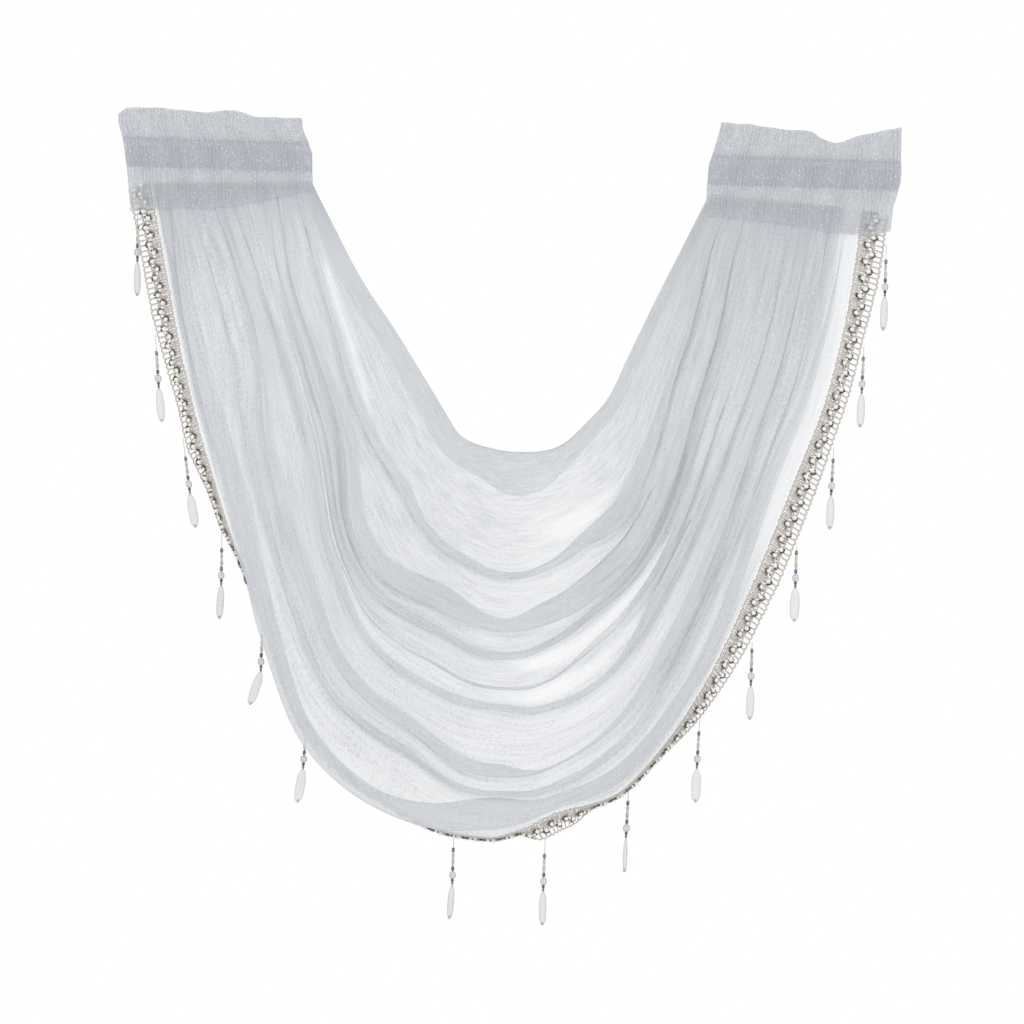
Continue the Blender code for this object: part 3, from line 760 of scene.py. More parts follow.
class Joined:
    """Copies of patterns brought together in one mesh."""

    def __init__(self, finishes: Sequence[Finish]) -> None:
        """Starts with no copies."""
        self.finishes = finishes
        self.points: list[np.ndarray] = []
        self.faces: list[tuple[int, ...]] = []
        self.slots: list[int] = []
        self.count = 0

    def add(self, pattern: Pattern, placed: np.ndarray, finish: int = 0) -> None:
        """Adds one copy.

        Args:
            pattern: The shape.
            placed: Where its points go.
            finish: Which of the finishes it takes.
        """
        self.points.append(placed)
        self.faces.extend(tuple(corner + self.count for corner in face) for face in pattern.faces)
        self.slots.extend([finish] * len(pattern.faces))
        self.count += len(placed)

    def piece(self, name: str) -> Piece:
        """The object that holds all the copies."""
        made = new_piece(name, np.concatenate(self.points), self.faces)
        for finish in self.finishes:
            made.data.materials.append(finish)
        made.data.polygons.foreach_set("material_index", self.slots)
        made.data.shade_smooth()
        return made


@dataclass(frozen=True)
class Weave:
    """A grid of points on a sheet, with its threads' lengths.

    shortest keeps faces of no size from dividing by 0.
    """

    points: np.ndarray
    shortest: float = 1e-12

    @cached_property
    def normals(self) -> np.ndarray:
        """The way that the sheet faces at each point, towards the viewer's side of the cloth."""
        faces = np.cross(np.gradient(self.points, axis=0), np.gradient(self.points, axis=1))
        return faces / np.maximum(np.linalg.norm(faces, axis=2, keepdims=True), self.shortest)

    @cached_property
    def across(self) -> np.ndarray:
        """The place of each column in the flat cloth, in metres from the first, at the widest row."""
        steps = np.linalg.norm(np.diff(self.points, axis=1), axis=2)
        run = np.concatenate([np.zeros((len(steps), 1)), np.cumsum(steps, axis=1)], axis=1)
        return run[np.argmax(run[:, -1])]

    @cached_property
    def along(self) -> np.ndarray:
        """The place of each row in the flat cloth, in metres from the first one, at the sheet's mean."""
        steps = np.linalg.norm(np.diff(self.points, axis=0), axis=2).mean(axis=1)
        return np.concatenate([[0.0], np.cumsum(steps)])

    def piece(
        self, name: str, finish: Finish, marks: dict[str, np.ndarray], turned_map: bool = False
    ) -> Piece:
        """The sheet as an object, with its UV map in cloth lengths.

        Args:
            name: The object's name.
            finish: Its material.
            marks: The numbers that the mesh carries at each point, by the names of their attributes.
            turned_map: Whether the crinkles run across the rows, and not along the sheet.

        Returns:
            The object.
        """
        shape = self.points.shape[:2]
        corner = np.arange(math.prod(shape)).reshape(shape)
        four = [corner[:-1, :-1], corner[1:, :-1], corner[1:, 1:], corner[:-1, 1:]]
        faces = np.stack(four, axis=2).reshape(-1, 4)
        made = new_piece(name, self.points.reshape(-1, 3), [tuple(face) for face in faces.tolist()])
        pair = [np.broadcast_to(self.across[None, :], shape), np.broadcast_to(self.along[:, None], shape)]
        lengths = np.stack(pair[::-1] if turned_map else pair, axis=2).reshape(-1, 2) / UV_METRES
        mesh = made.data
        mesh.uv_layers.new(name="cloth").data.foreach_set("uv", lengths[faces.reshape(-1)].reshape(-1))
        for mark, values in marks.items():
            held = mesh.attributes.new(mark, "FLOAT", "POINT")
            held.data.foreach_set("value", np.ascontiguousarray(values).reshape(-1))
        mesh.materials.append(finish)
        mesh.shade_smooth()
        return made


class Ripple(NamedTuple):
    """One family of lengthwise creases: its pitch and height, how far it wanders, in turns, and how often."""

    pitch: float
    height: float
    wander: float
    waves: float


RIPPLES = table_of(
    Ripple,
    (41.0, 0.9, 0.35, 0.9), (26.0, 0.8, 0.45, 1.3), (17.0, 0.55, 0.5, 1.9), (12.0, 0.35, 0.5, 2.7),
)


class Strip(NamedTuple):
    """The cloth at a percent of the way across, by column: the flat layers it counts for and its shade."""

    name: str
    percent: float
    layers: tuple[float, ...]
    shade: tuple[float, ...]


GATHERED = table_of(
    Strip,
    ("top edge", 0, (8, 6, 4.5, 3.8, 2.8, 2.5, 2.3, 2.5, 3.4, 5, 8),
     (0.48, 0.80, 0.85, 0.86, 0.84, 0.84, 0.84, 0.84, 0.84, 0.80, 0.52)),
    ("upper", 20, (8, 6.5, 5, 4, 3.2, 2.4, 1.45, 1.6, 3.2, 5.5, 8),
     (0.48, 0.85, 0.88, 0.88, 0.84, 0.84, 0.84, 0.84, 0.84, 0.75, 0.52)),
    ("middle", 50, (8, 6.5, 5, 4, 2.9, 2.0, 1.8, 2.3, 4.2, 6, 8),
     (0.48, 0.82, 0.88, 0.90, 0.90, 0.92, 0.88, 0.86, 0.85, 0.75, 0.52)),
    ("lower", 84, (8, 6.5, 5, 4, 3.2, 2.2, 2.0, 2.5, 3.8, 5.5, 8),
     (0.48, 0.81, 0.87, 0.88, 0.88, 0.86, 0.86, 0.86, 0.85, 0.76, 0.52)),
    ("edge strip", 91, (8, 6.5, 4.6, 3.2, 2.6, 2.2, 2.2, 3.0, 3.4, 1.1, 2),
     (0.48, 0.8, 0.86, 0.88, 0.94, 0.98, 0.92, 0.86, 0.86, 0.95, 0.9)),
    ("hem", 98.3, (8, 6, 4, 2.6, 2.2, 2.0, 2.0, 2.8, 3.2, 0.95, 1.2),
     (0.48, 0.78, 0.86, 0.88, 0.96, 1.0, 0.95, 0.86, 0.86, 1.0, 1.0)),
    ("selvedge", 99.3, (2, 1.1, 1.1, 1.4, 1.6, 1.6, 1.6, 2.0, 2.2, 1.0, 1.2),
     (0.8, 1.0, 1.0, 1.0, 1.0, 1.0, 1.0, 1.0, 1.0, 1.0, 1.0)),
)


class PaleGap(NamedTuple):
    """A pale opening between two folds, where less cloth lies over itself.

    It runs between two places along the swag, each with its percent of the way across. half_width is in
    percent too.
    """

    name: str
    start: float
    end: float
    start_percent: float
    end_percent: float
    half_width: float
    thinner: float


PALE_GAPS = table_of(
    PaleGap,
    ("left tail", 0.05, 0.21, 10, 30, 3.6, 0.8),
    ("right bowl, upper", 0.54, 0.69, 22, 24, 4.6, 0.62),
    ("right bowl, middle", 0.49, 0.75, 55, 56, 4.2, 0.76),
    ("right bowl, inner", 0.50, 0.67, 64, 62, 3.6, 0.64),
    ("right bowl, lower", 0.54, 0.73, 72, 73, 4.2, 0.45),
)


@dataclass(frozen=True)
class SwagCloth:
    """The one-piece swag in sheer voile, an open sheet on the folds of its solid.

    The shares are rows of (place along the swag, value). edge_on_limit is the most that cloth seen edge-on
    counts for, and shine_away is how many of its own widths the line of shine lies before a lip.
    """

    form: SwagForm = field(default_factory=SwagForm)
    rows: int = 300
    bowl_crowding: float = 0.05
    ripple_share: Pairs = (
        (0.0, 0.3), (0.04, 0.5), (0.15, 0.6), (0.3, 0.8), (0.5, 0.7), (0.7, 0.8), (0.85, 0.6), (0.96, 0.5),
        (1.0, 0.3),
    )
    edge_on_limit: float = 1.7
    least_facing: float = 0.05
    # The tucks' colour is lifted: painted light against the shadow in them.
    tuck_painted_light: float = 1.06
    tuck_layers: float = 1.1
    lip_width: float = 0.9 * MM
    lip_layers: float = 0.9
    # The colour along each lip is darkened: painted shade.
    lip_painted_shade: float = 0.12
    lip_share: Pairs = (
        (0.0, 0.0), (0.08, 0.1), (0.18, 0.5), (0.3, 0.9), (0.7, 0.9), (0.8, 0.5), (0.92, 0.1), (1.0, 0.0),
    )
    shine_width: float = 2.2 * MM
    shine_away: float = 1.6
    # The colour along the line of shine is lightened: a painted highlight.
    shine_painted_highlight: float = 0.06
    crease_share: Pairs = (
        (0.0, 0.0), (0.1, 0.1), (0.22, 0.7), (0.3, 1.0), (0.66, 1.0), (0.76, 0.6), (0.9, 0.1), (1.0, 0.0),
    )
    # The colour of cloth seen edge-on in the tails is lifted: painted light against its shading.
    tail_painted_light: float = 0.5

    def places(self) -> np.ndarray:
        """The places along the swag at which the sheet has a row of points."""
        steps = np.linspace(0, 1, self.rows + 1)
        return steps + self.bowl_crowding * np.sin(2 * math.pi * steps)

    def ripples(self, weave: Weave, places: np.ndarray) -> np.ndarray:
        """The height of the lengthwise creases at each point, in metres.

        Each family starts at a phase of its own, and its drift and swell are much longer than its pitch.
        """
        across = weave.across[None, :] / MM
        t = places[:, None]
        height = np.zeros((len(places), across.size))
        for number, ripple in enumerate(RIPPLES, start=1):
            drift = ripple.wander * np.sin(math.tau * (ripple.waves * t + 0.37 * number))
            drift = drift + 0.35 * np.sin(math.tau * (across / (ripple.pitch * 4.7) + 0.61 * number))
            swell = across / (ripple.pitch * 6.3) - ripple.waves * t * 0.7 + 0.23 * number
            swing = 0.6 + 0.4 * np.sin(math.tau * swell)
            height = height + ripple.height * swing * np.sin(math.tau * (across / ripple.pitch + drift))
        return height * Table.of_pairs(self.ripple_share).at(t) * MM

    @staticmethod
    def strips(column: str, places: np.ndarray, shares: np.ndarray) -> np.ndarray:
        """One of the two tables of the strips, read at each point."""
        rows = np.array([Table(PLACES, getattr(strip, column)).at(places) for strip in GATHERED])
        percents = [strip.percent for strip in GATHERED]
        return np.array([np.interp(row, percents, values) for row, values in zip(shares * 100, rows.T)])

    @staticmethod
    def gaps(places: np.ndarray, shares: np.ndarray) -> np.ndarray:
        """How much thinner the cloth counts at each point of the pale gaps, pointed with soft edges."""
        thinner = np.zeros_like(shares)
        for gap in PALE_GAPS:
            t = np.clip((places - gap.start) / (gap.end - gap.start), 0, 1)[:, None]
            middle = gap.start_percent + (gap.end_percent - gap.start_percent) * t
            open_share = np.sin(math.pi * t)
            half = gap.half_width * np.maximum(open_share, 0.01) ** 0.8
            inside = np.clip(1.6 - 1.6 * np.abs(shares * 100 - middle) / half, 0, 1)
            thinner = np.maximum(thinner, gap.thinner * inside * np.clip(2.2 * open_share - 0.1, 0, 1))
        return thinner

    def lips(self, weave: Weave, places: np.ndarray) -> tuple[np.ndarray, np.ndarray]:
        """How close each point lies to a fold's lip.

        Returns:
            1 on the line of a lip, fading to both sides, and 1 on the line of shine just before it, where a
            highlight is painted.
        """
        line = np.zeros((len(places), len(weave.across)))
        shine = np.zeros_like(line)
        sharp = Table.of_pairs(self.lip_share).at(places)[:, None]
        for fold, column in zip(FOLDS, self.form.lip_columns()):
            kept = np.array([self.form.kept(fold, t) for t in places])[:, None] * sharp
            away = (weave.across - weave.across[column])[None, :]
            line += kept * np.exp(-((away / self.lip_width) ** 2))
            shine += kept * np.exp(-(((away + self.shine_away * self.shine_width) / self.shine_width) ** 2))
        return line, shine

    def tucked(self) -> np.ndarray:
        """1 for the points that lie in a tuck, behind a lip, and 0 for the others."""
        steps, lips = self.form.steps, self.form.lip_columns()
        hidden = np.zeros((1, lips[-1] + steps.lip + steps.hem + 1))
        for lip in lips[:-1]:
            hidden[:, lip + 2 : lip + steps.lip + steps.tuck + 4] = 1.0
        hidden[:, lips[-1] + 2 : lips[-1] + steps.lip] = 1.0
        return hidden

    def build(self) -> Piece:
        """Makes and dresses the sheet."""
        places = self.places()
        sections = [self.form.section(t) for t in places]
        grid = np.array([self.form.in_space(t, section) for t, section in zip(places, sections)])
        shares = np.array([section[:, 0] / self.form.width(t) for t, section in zip(places, sections)])
        smooth = Weave(grid)
        line, shine = self.lips(smooth, places)
        tucked = self.tucked()
        facing = np.abs(smooth.normals[:, :, 1])
        edge_on = np.clip(1 / np.maximum(facing, self.least_facing), 1.0, self.edge_on_limit) - 1
        crease = Table.of_pairs(self.crease_share).at(places)[:, None]
        layers = self.strips("layers", places, shares) * (1 + edge_on * crease) * (1 + self.lip_layers * line)
        layers = layers * (1 - self.gaps(places, shares)) * (1 - (1 - self.tuck_layers) * tucked)
        # The shade carries painted shade along the lips, a painted highlight before them, and painted light in
        # the tucks and on edge-on cloth in the tails.
        shade = self.strips("shade", places, shares) * (1 - self.lip_painted_shade * line + self.shine_painted_highlight * shine)
        shade = shade * (1 + (self.tuck_painted_light - 1) * tucked + self.tail_painted_light * (edge_on * (1 - crease)))
        creased = Weave(grid + smooth.normals * self.ripples(smooth, places)[:, :, None])
        marks = {"cloth_layers": layers, "cloth_shade": shade}
        return dress(creased.piece("swag_voile", SWAG_VOILE.material(), marks), ["swag_cloth"])


class Level(NamedTuple):
    """How far out and in a heading reaches at one height."""

    height: float
    outer_x: float
    inner_x: float


class Gather(NamedTuple):
    """The frill's height and the band's depth at a share of the way from the outer end."""

    share: float
    frill: float
    band: float


class Bow(NamedTuple):
    """A point of the heading's layers: how high it lies and how far to the front and the back they stand."""

    height: float
    front: float
    back: float


class Tone(NamedTuple):
    """How light the heading looks at one height, and how many flat layers its cloth counts for there."""

    height: float
    shade: float
    layers: float


LEFT_LEVELS = table_of(
    Level,
    (-70, -380.5, -199), (-39, -384, -199), (-21, -386.4, -200.3), (-9.5, -388, -200.7), (2, -391, -205),
    (14, -395, -210.5), (30, -396, -211.5),
)
RIGHT_LEVELS = table_of(
    Level,
    (-70, 380, 195), (-45, 382, 195), (-33, 385.5, 195), (-21, 388, 196), (-9, 388.6, 196.5), (3, 388.2, 200),
    (30, 388, 207),
)
LEFT_GATHERS = table_of(
    Gather,
    (0.0, 24, -74), (0.05, 30, -73), (0.2, 31, -69), (0.48, 28, -67), (0.62, 31, -63), (0.76, 25, -57),
    (1.0, 25, -46),
)
RIGHT_GATHERS = table_of(
    Gather,
    (0.0, 35, -70), (0.12, 30, -75), (0.25, 24, -74), (0.36, 17, -71), (0.44, 22, -68), (0.5, 28, -67),
    (0.65, 29, -64), (0.85, 33, -61), (1.0, 34, -60),
)
# The light row at -29.8, by the lower seam, is a painted highlight along the pocket's lower edge.
HEADING_TONES = table_of(
    Tone,
    (-70, 0.64, 1.1), (-54, 0.63, 1.1), (-46, 0.65, 1.2), (-41, 0.66, 1.6), (-32, 0.68, 2.2),
    (-31, 0.72, 3.0), (-29.8, 0.80, 3.0), (-28.4, 0.54, 3.0), (-18, 0.45, 3.0), (-9, 0.43, 3.0),
    (-7, 0.47, 3.0), (-2, 0.51, 3.0), (-0.8, 0.42, 3.0), (0.6, 0.58, 3.0), (2, 0.66, 2.6), (8, 0.72, 2.4),
    (30, 0.72, 2.2),
)

LOWER_SEAM = -30

# The layers below the frill, from the stitching under it down to where the band hangs free.
BOWS = table_of(
    Bow,
    (0, -0.8, 0.8), (-3, -3.4, 2.8), (-8, -6.9, 5.4), (-15, -7.6, 6.0), (-22, -6.9, 5.4), (-27, -3.6, 3.0),
    (LOWER_SEAM, -1.5, 1.5), (-34, -2.6, 2.6), (-40, -3.5, 3.5),
)


@dataclass(frozen=True)
class HeadingCloth:
    """A gathered heading: one strip doubled over into a frill, a rod pocket and an open lower band.

    Its sizes are in mm. wedge is how much lower the tones of the band are read towards its inner end.
    """

    name: str
    node: str
    levels: tuple[Level, ...]
    gathers: tuple[Gather, ...]
    wedge: float
    columns: int = 300
    frill_rows: int = 12
    bow_rows: int = 34
    band_rows: int = 12
    frill_crowding: float = 1.5
    band_crowding: float = 1.6
    wave_count: int = 7
    wave_sway: float = 3.2
    wave_growth: float = 1.5
    wave_drift: float = 1.1
    pocket_sway: float = 0.6
    pocket_ramp: float = 8.0
    pleat_pitch: float = 3.6
    pleat_height: float = 0.7
    pleat_drift: float = 0.25
    crinkle_pitch: float = 6.7
    crinkle_height: float = 0.12
    frill_gap: float = 0.8
    frill_closing: float = 6.0
    wedge_ramp: float = 3.0
    # The pleats' valleys are darkened and their ridges lightened: painted shade and painted highlight.
    painted_groove_shade: float = 0.09
    soft_edge: float = 1.6
    edge_layers: float = 0.35
    # The free edges' colour is lifted: painted light against their shading.
    edge_painted_light: float = 0.14

    @property
    def width(self) -> float:
        """The width of the rod pocket."""
        return abs(self.levels[2].outer_x - self.levels[2].inner_x)

    def sway(self, share: float | np.ndarray, height: np.ndarray, frill: float) -> np.ndarray:
        """How far the gathers push both layers to the front or the back."""
        wave = np.sin(math.tau * self.wave_count * share + self.wave_drift * np.sin(math.tau * share))
        above = self.wave_sway * np.maximum(height / frill, 0.0) ** self.wave_growth
        below = self.pocket_sway * np.clip(-height / self.pocket_ramp, 0.0, 1.0)
        return wave * (above + below)

    def pleats(self, share: float | np.ndarray, height: np.ndarray) -> np.ndarray:
        """The fine gathers that run up and down, varied by waves that are much longer than they are."""
        x = share * self.width + self.pleat_drift * np.sin(height / 17 + share * 31)
        swing = 0.65 + 0.35 * np.sin(math.tau * x / 37 + height / 21)
        wander = 0.4 * np.sin(math.tau * x / 29 + 0.8) + 0.25 * np.sin(math.tau * x / 17)
        pleat = self.pleat_height * swing * np.sin(math.tau * x / self.pleat_pitch + wander)
        return pleat + self.crinkle_height * np.sin(math.tau * x / self.crinkle_pitch + 2.1 * wander)

    def x_at(self, share: float | np.ndarray, height: np.ndarray) -> np.ndarray:
        """Where a point lies in X, at a share of the width and a height."""
        heights, outers, inners = np.array(self.levels).T
        outer = np.interp(height, heights, outers)
        return outer + (np.interp(height, heights, inners) - outer) * share

    def heights(self, frill: float, band: float) -> np.ndarray:
        """One layer's heights from the frill's top to the band's edge, closer together at both ends."""
        lowest = BOWS[-1].height
        down_frill = frill * (1 - (np.arange(self.frill_rows) / self.frill_rows) ** self.frill_crowding)
        down_bows = np.linspace(0, lowest, self.bow_rows, endpoint=False)
        step_band = np.arange(self.band_rows + 1) / self.band_rows
        down_band = lowest + (band - lowest) * (1 - (1 - step_band) ** self.band_crowding)
        return np.concatenate([down_frill, down_bows, down_band])

    def grid(self) -> tuple[np.ndarray, np.ndarray, np.ndarray]:
        """The strip's points, how light it is at each, and how many layers it counts for.

        Returns:
            The points in metres, with a row for each place along the width, then the shade and the layers.
        """
        shares = np.linspace(0, 1, self.columns + 1)
        at, frills, bands = zip(*self.gathers)
        bow_heights, fronts, backs = zip(*BOWS)
        below = tuple(-height for height in bow_heights)
        front_of, back_of = Table(below, fronts), Table(below, backs)
        tone_heights, tones, covers = np.array(HEADING_TONES).T
        rows, shades, layers = [], [], []
        for share, frill, band in zip(shares, Table(at, frills).at(shares), Table(at, bands).at(shares)):
            down = self.heights(frill, band)
            under = np.clip(-down, 0, below[-1])
            closed = np.maximum(down / frill, 0) ** self.frill_closing
            gap = np.where(down > 0, self.frill_gap * (1 - closed), 0.0)
            front = np.where(down > 0, -gap, front_of.at(under))
            back = np.where(down > 0, gap, back_of.at(under))
            height = np.concatenate([down[::-1], down[1:]])
            pleat = self.pleats(share, height)
            depth = np.concatenate([front[::-1], back[1:]]) + self.sway(share, height, frill) + pleat
            rows.append(np.stack([self.x_at(share, height), depth, height], axis=1) * MM)
            # Near the free edges the cloth counts for fewer layers, and its colour is lifted with painted
            # light.
            fray_and_edge_light = 1 - np.clip(np.minimum(frill - height, height - band) / self.soft_edge, 0.0, 1.0)
            # Painted shade in the pleats' valleys and a painted highlight on their ridges.
            groove_shading = 1 - self.painted_groove_shade * pleat / self.pleat_height
            read_at = height - self.wedge * share * np.clip((LOWER_SEAM - height) / self.wedge_ramp, 0.0, 1.0)
            shades.append(np.interp(read_at, tone_heights, tones) * groove_shading + self.edge_painted_light * fray_and_edge_light)
            layers.append(np.interp(height, tone_heights, covers) * (1 - (1 - self.edge_layers) * fray_and_edge_light))
        return np.array(rows), np.array(shades), np.array(layers)

    def build(self) -> Piece:
        """Makes and dresses the strip."""
        points, shade, layers = self.grid()
        marks = {"cloth_layers": layers, "cloth_shade": shade}
        piece = Weave(points).piece(self.name, HEADING_VOILE.material(), marks, turned_map=True)
        return dress(piece, [self.node])


@dataclass(frozen=True)
class SeamStitches:
    """The rows of machine stitching above and below a rod pocket, in mm."""

    heading: HeadingCloth
    pitch: float = 3.2
    length: float = 2.4
    thick: float = 0.5
    seams: tuple[float, float] = (0, LOWER_SEAM)
    stand_off: float = 1.7
    frill: float = 30.0

    def build(self) -> Piece:
        """Makes and dresses the stitches of both seams, front and back."""
        stitch = round_bead(self.thick / 2 * MM, self.length * MM, segments=6, rings=4)
        count = int(self.heading.width / self.pitch)
        shares = (np.arange(count) + 0.5) / count
        joined = Joined([SEWING_THREAD.material()])
        for seam in self.seams:
            height = np.full(count, float(seam))
            x = self.heading.x_at(shares, height)
            push = self.heading.sway(shares, height, self.frill) + self.heading.pleats(shares, height)
            for side in (-1, 1):
                for place in np.stack([x, push + side * self.stand_off, height], axis=1):
                    joined.add(stitch, stitch.lying + place * MM)
        return dress(joined.piece(self.heading.name.replace("voile", "stitches")))


# The width in mm at which the braid's stitches are drawn.
DRAWN_WIDTH = 23.6


class BraidRoute:
    """The hem edge in space, with the way across the braid and the way that its face looks."""

    def __init__(self, form: SwagForm, samples: int = 700) -> None:
        """Follows the hem edge of the swag's form."""
        places = np.linspace(0, 1, samples)
        self.edge = np.array([form.in_space(t, np.array(form.hem_edge(t)))[0] for t in places])
        along = unit(np.gradient(self.edge, axis=0))
        top = np.array([form.in_space(t, np.array((0.0, 0.0)))[0] for t in places])
        outward = unit(np.stack([-along[:, 2], np.zeros(samples), along[:, 0]], axis=1))
        outward *= np.sign(np.sum(outward * (self.edge - top), axis=1, keepdims=True))
        lean = np.array([form.lean(t) for t in places])[:, None]
        out = np.cos(lean) * outward + np.sin(lean) * np.array([0.0, 1.0, 0.0])
        self.out = unit(out - along * np.sum(out * along, axis=1, keepdims=True))
        self.face = np.cross(self.out, along)
        self.stretch = np.array([form.read("braid width", t) for t in places]) / DRAWN_WIDTH
        self.run = run_along(self.edge)

    @property
    def length(self) -> float:
        """The length of the hem edge, in metres."""
        return float(self.run[-1])

    def laid(self, points: np.ndarray) -> np.ndarray:
        """Lays points on the braid.

        Args:
            points: Rows of (along the hem, across the braid, off its face), in metres.

        Returns:
            Rows of (x, y, z).
        """
        place = points[:, 0]
        edge, out, face = (
            np.stack([np.interp(place, self.run, column) for column in rows.T], axis=1)
            for rows in (self.edge, self.out, self.face)
        )
        across = points[:, 1] * np.interp(place, self.run, self.stretch)
        return edge + out * across[:, None] + face * points[:, 2:3]


class Stitch(NamedTuple):
    """One crochet stitch of the repeat, from start to end along and across the braid."""

    start_along: float
    start_across: float
    end_along: float
    end_across: float
    thick: float
    lift: float


CROCHET_REPEAT = table_of(
    Stitch,
    (-0.5, 20.5, 2.9, 22.8, 1.9, 0.0), (2.5, 22.8, 5.9, 20.5, 1.9, 0.0), (0.0, 14.0, 0.0, 21.4, 1.9, 0.1),
    (-0.4, 12.9, 3.1, 15.0, 2.3, 0.2), (2.3, 15.0, 5.8, 12.9, 2.3, -0.2), (-0.4, 13.0, 3.1, 10.4, 2.4, -0.2),
    (2.3, 10.4, 5.8, 13.0, 2.4, 0.2), (-0.4, 8.0, 3.1, 10.5, 2.3, 0.2), (2.3, 10.5, 5.8, 8.0, 2.3, -0.2),
    (0.2, 2.2, 0.0, 8.8, 2.7, 0.2), (2.9, 2.4, 2.7, 8.8, 2.5, -0.3), (-0.5, 2.4, 2.7, 0.9, 2.1, 0.0),
    (2.4, 0.9, 5.8, 2.4, 2.1, 0.0),
)

# How far the braid's outer edge has slid along the hem, in mm, for the same columns as the folds.
BRAID_SLANT = (1, 1, 1, 0, 0, 0, 0, -1, -1.8, -2.2, -2.2)


class BraidBead(NamedTuple):
    """One bead of the braid's repeat: its place along and across, size, height off the yarn and finish."""

    along: float
    across: float
    size: float
    lift: float
    finish: BeadGloss | ClearGlass


def hooked(along: float, across: float, way: float, reach: float = 3.0) -> list[BraidBead]:
    """A clear bead with a hook of bronze beads around part of it, at the reach from its middle."""
    beads = [BraidBead(along, across, size=4.8, lift=2.2, finish=BRAID_GLASS)]
    for angle in map(math.radians, (-78, -40, -2, 36)):
        place = along + reach * math.sin(angle), across + way * reach * math.cos(angle)
        beads.append(BraidBead(*place, size=2.3, lift=2.3, finish=BRONZE_BEAD))
    return beads


BEAD_REPEAT = (
    *hooked(0.0, 9.2, -1.0),
    BraidBead(3.4, 12.2, 2.6, 2.4, SILVER_BEAD),
    BraidBead(4.6, 10.0, 3.2, 2.2, BRAID_GLASS),
    BraidBead(5.6, 13.2, 2.2, 2.2, BRONZE_BEAD),
    BraidBead(6.0, 10.2, 2.0, 2.4, BRONZE_BEAD),
    *hooked(8.5, 12.8, 1.0),
    BraidBead(11.9, 9.8, 2.6, 2.4, SILVER_BEAD),
    BraidBead(13.1, 12.0, 3.2, 2.2, BRAID_GLASS),
    BraidBead(14.1, 8.8, 2.2, 2.2, BRONZE_BEAD),
    BraidBead(14.6, 11.8, 2.0, 2.4, BRONZE_BEAD),
)


@dataclass(frozen=True)
class BeadedBraid:
    """The crochet braid with its zigzag of small beads, laid along the hem. Its sizes are in mm.

    overrun is how much longer than its stretch a stitch is drawn, so that it meets the next one.
    still_line is the line across the braid that stays in place where its outer edge sags.
    """

    route: BraidRoute
    pitch: float = 5.4
    margin: float = 1.0
    unevenness: float = 0.2
    overrun: float = 1.12
    bead_period: float = 17.0
    bead_unevenness: float = 0.25
    bead_growth: float = 0.2
    still_line: float = 11.0
    yarn_seed: int = 7
    bead_seed: int = 11

    @property
    def reach(self) -> float:
        """The length that the repeats fill."""
        return self.route.length / MM - self.margin - self.margin

    def slid(self, along: float | np.ndarray, across: float | np.ndarray) -> np.ndarray:
        """Places along the braid, moved as its outer edge sags."""
        slant = Table(PLACES, BRAID_SLANT).at(along * MM / self.route.length)
        return along + slant * (across - self.still_line) / self.still_line

    def crochet(self) -> Piece:
        """The yarn of the braid: loops on both sides of a close-worked middle."""
        grain = round_bead(radius=0.5 * MM, length=1.0 * MM, segments=6, rings=4)
        shape = grain.lying / MM
        chance = np.random.default_rng(self.yarn_seed)
        joined = Joined([CROCHET_YARN.material()])
        repeats = round(self.reach / self.pitch)
        pitch = self.reach / repeats
        for repeat in range(repeats):
            for stitch in CROCHET_REPEAT:
                shift = chance.normal(0.0, self.unevenness, 3)
                start, end = np.array(stitch[:2]), np.array(stitch[2:4])
                size = float(np.linalg.norm(end - start))
                way = (end - start) / size
                flat = shape * (size * self.overrun, stitch.thick, stitch.thick)
                middle = (start + end) / 2 + shift[:2]
                along = middle[0] + flat[:, 0] * way[0] - flat[:, 1] * way[1] + self.margin + repeat * pitch
                across = middle[1] + flat[:, 0] * way[1] + flat[:, 1] * way[0]
                lift = flat[:, 2] + stitch.lift + shift[2] * 0.5
                points = np.stack([self.slid(along, across), across, lift], axis=1)
                joined.add(grain, self.route.laid(points * MM))
        return dress(joined.piece("braid_crochet"), ["beaded_braid"])

    def beads(self) -> Piece:
        """The winding row of clear beads in hooks of bronze and silver ones on the middle of the braid."""
        bead = round_bead(radius=0.5 * MM, length=0.9 * MM, segments=8, rings=5)
        shape = bead.lying / MM
        chance = np.random.default_rng(self.bead_seed)
        joined = Joined([finish.material() for finish in BRAID_FINISHES])
        repeats = int(self.reach / self.bead_period)
        for repeat in range(repeats):
            for spot in BEAD_REPEAT:
                shift = chance.normal(0.0, self.bead_unevenness, 3)
                along = self.margin + repeat * self.reach / repeats + spot.along + shift[0]
                across = spot.across + shift[1]
                grown = shape * spot.size * (1.0 + self.bead_growth * shift[2])
                place = np.array([float(self.slid(along, across)), across, spot.lift])
                joined.add(bead, self.route.laid((grown + place) * MM), BRAID_FINISHES.index(spot.finish))
        return dress(joined.piece("braid_beads"))

    def build(self) -> list[Piece]:
        """Makes and dresses the braid's pieces."""
        return [self.crochet(), self.beads()]


class Bead(NamedTuple):
    """One bead of a drop: its outline as rows of (radius, down), its sides, flatness and finish."""

    name: str
    outline: Pairs
    sides: int
    flatness: float
    finish: Yarn | BeadGloss | ClearGlass


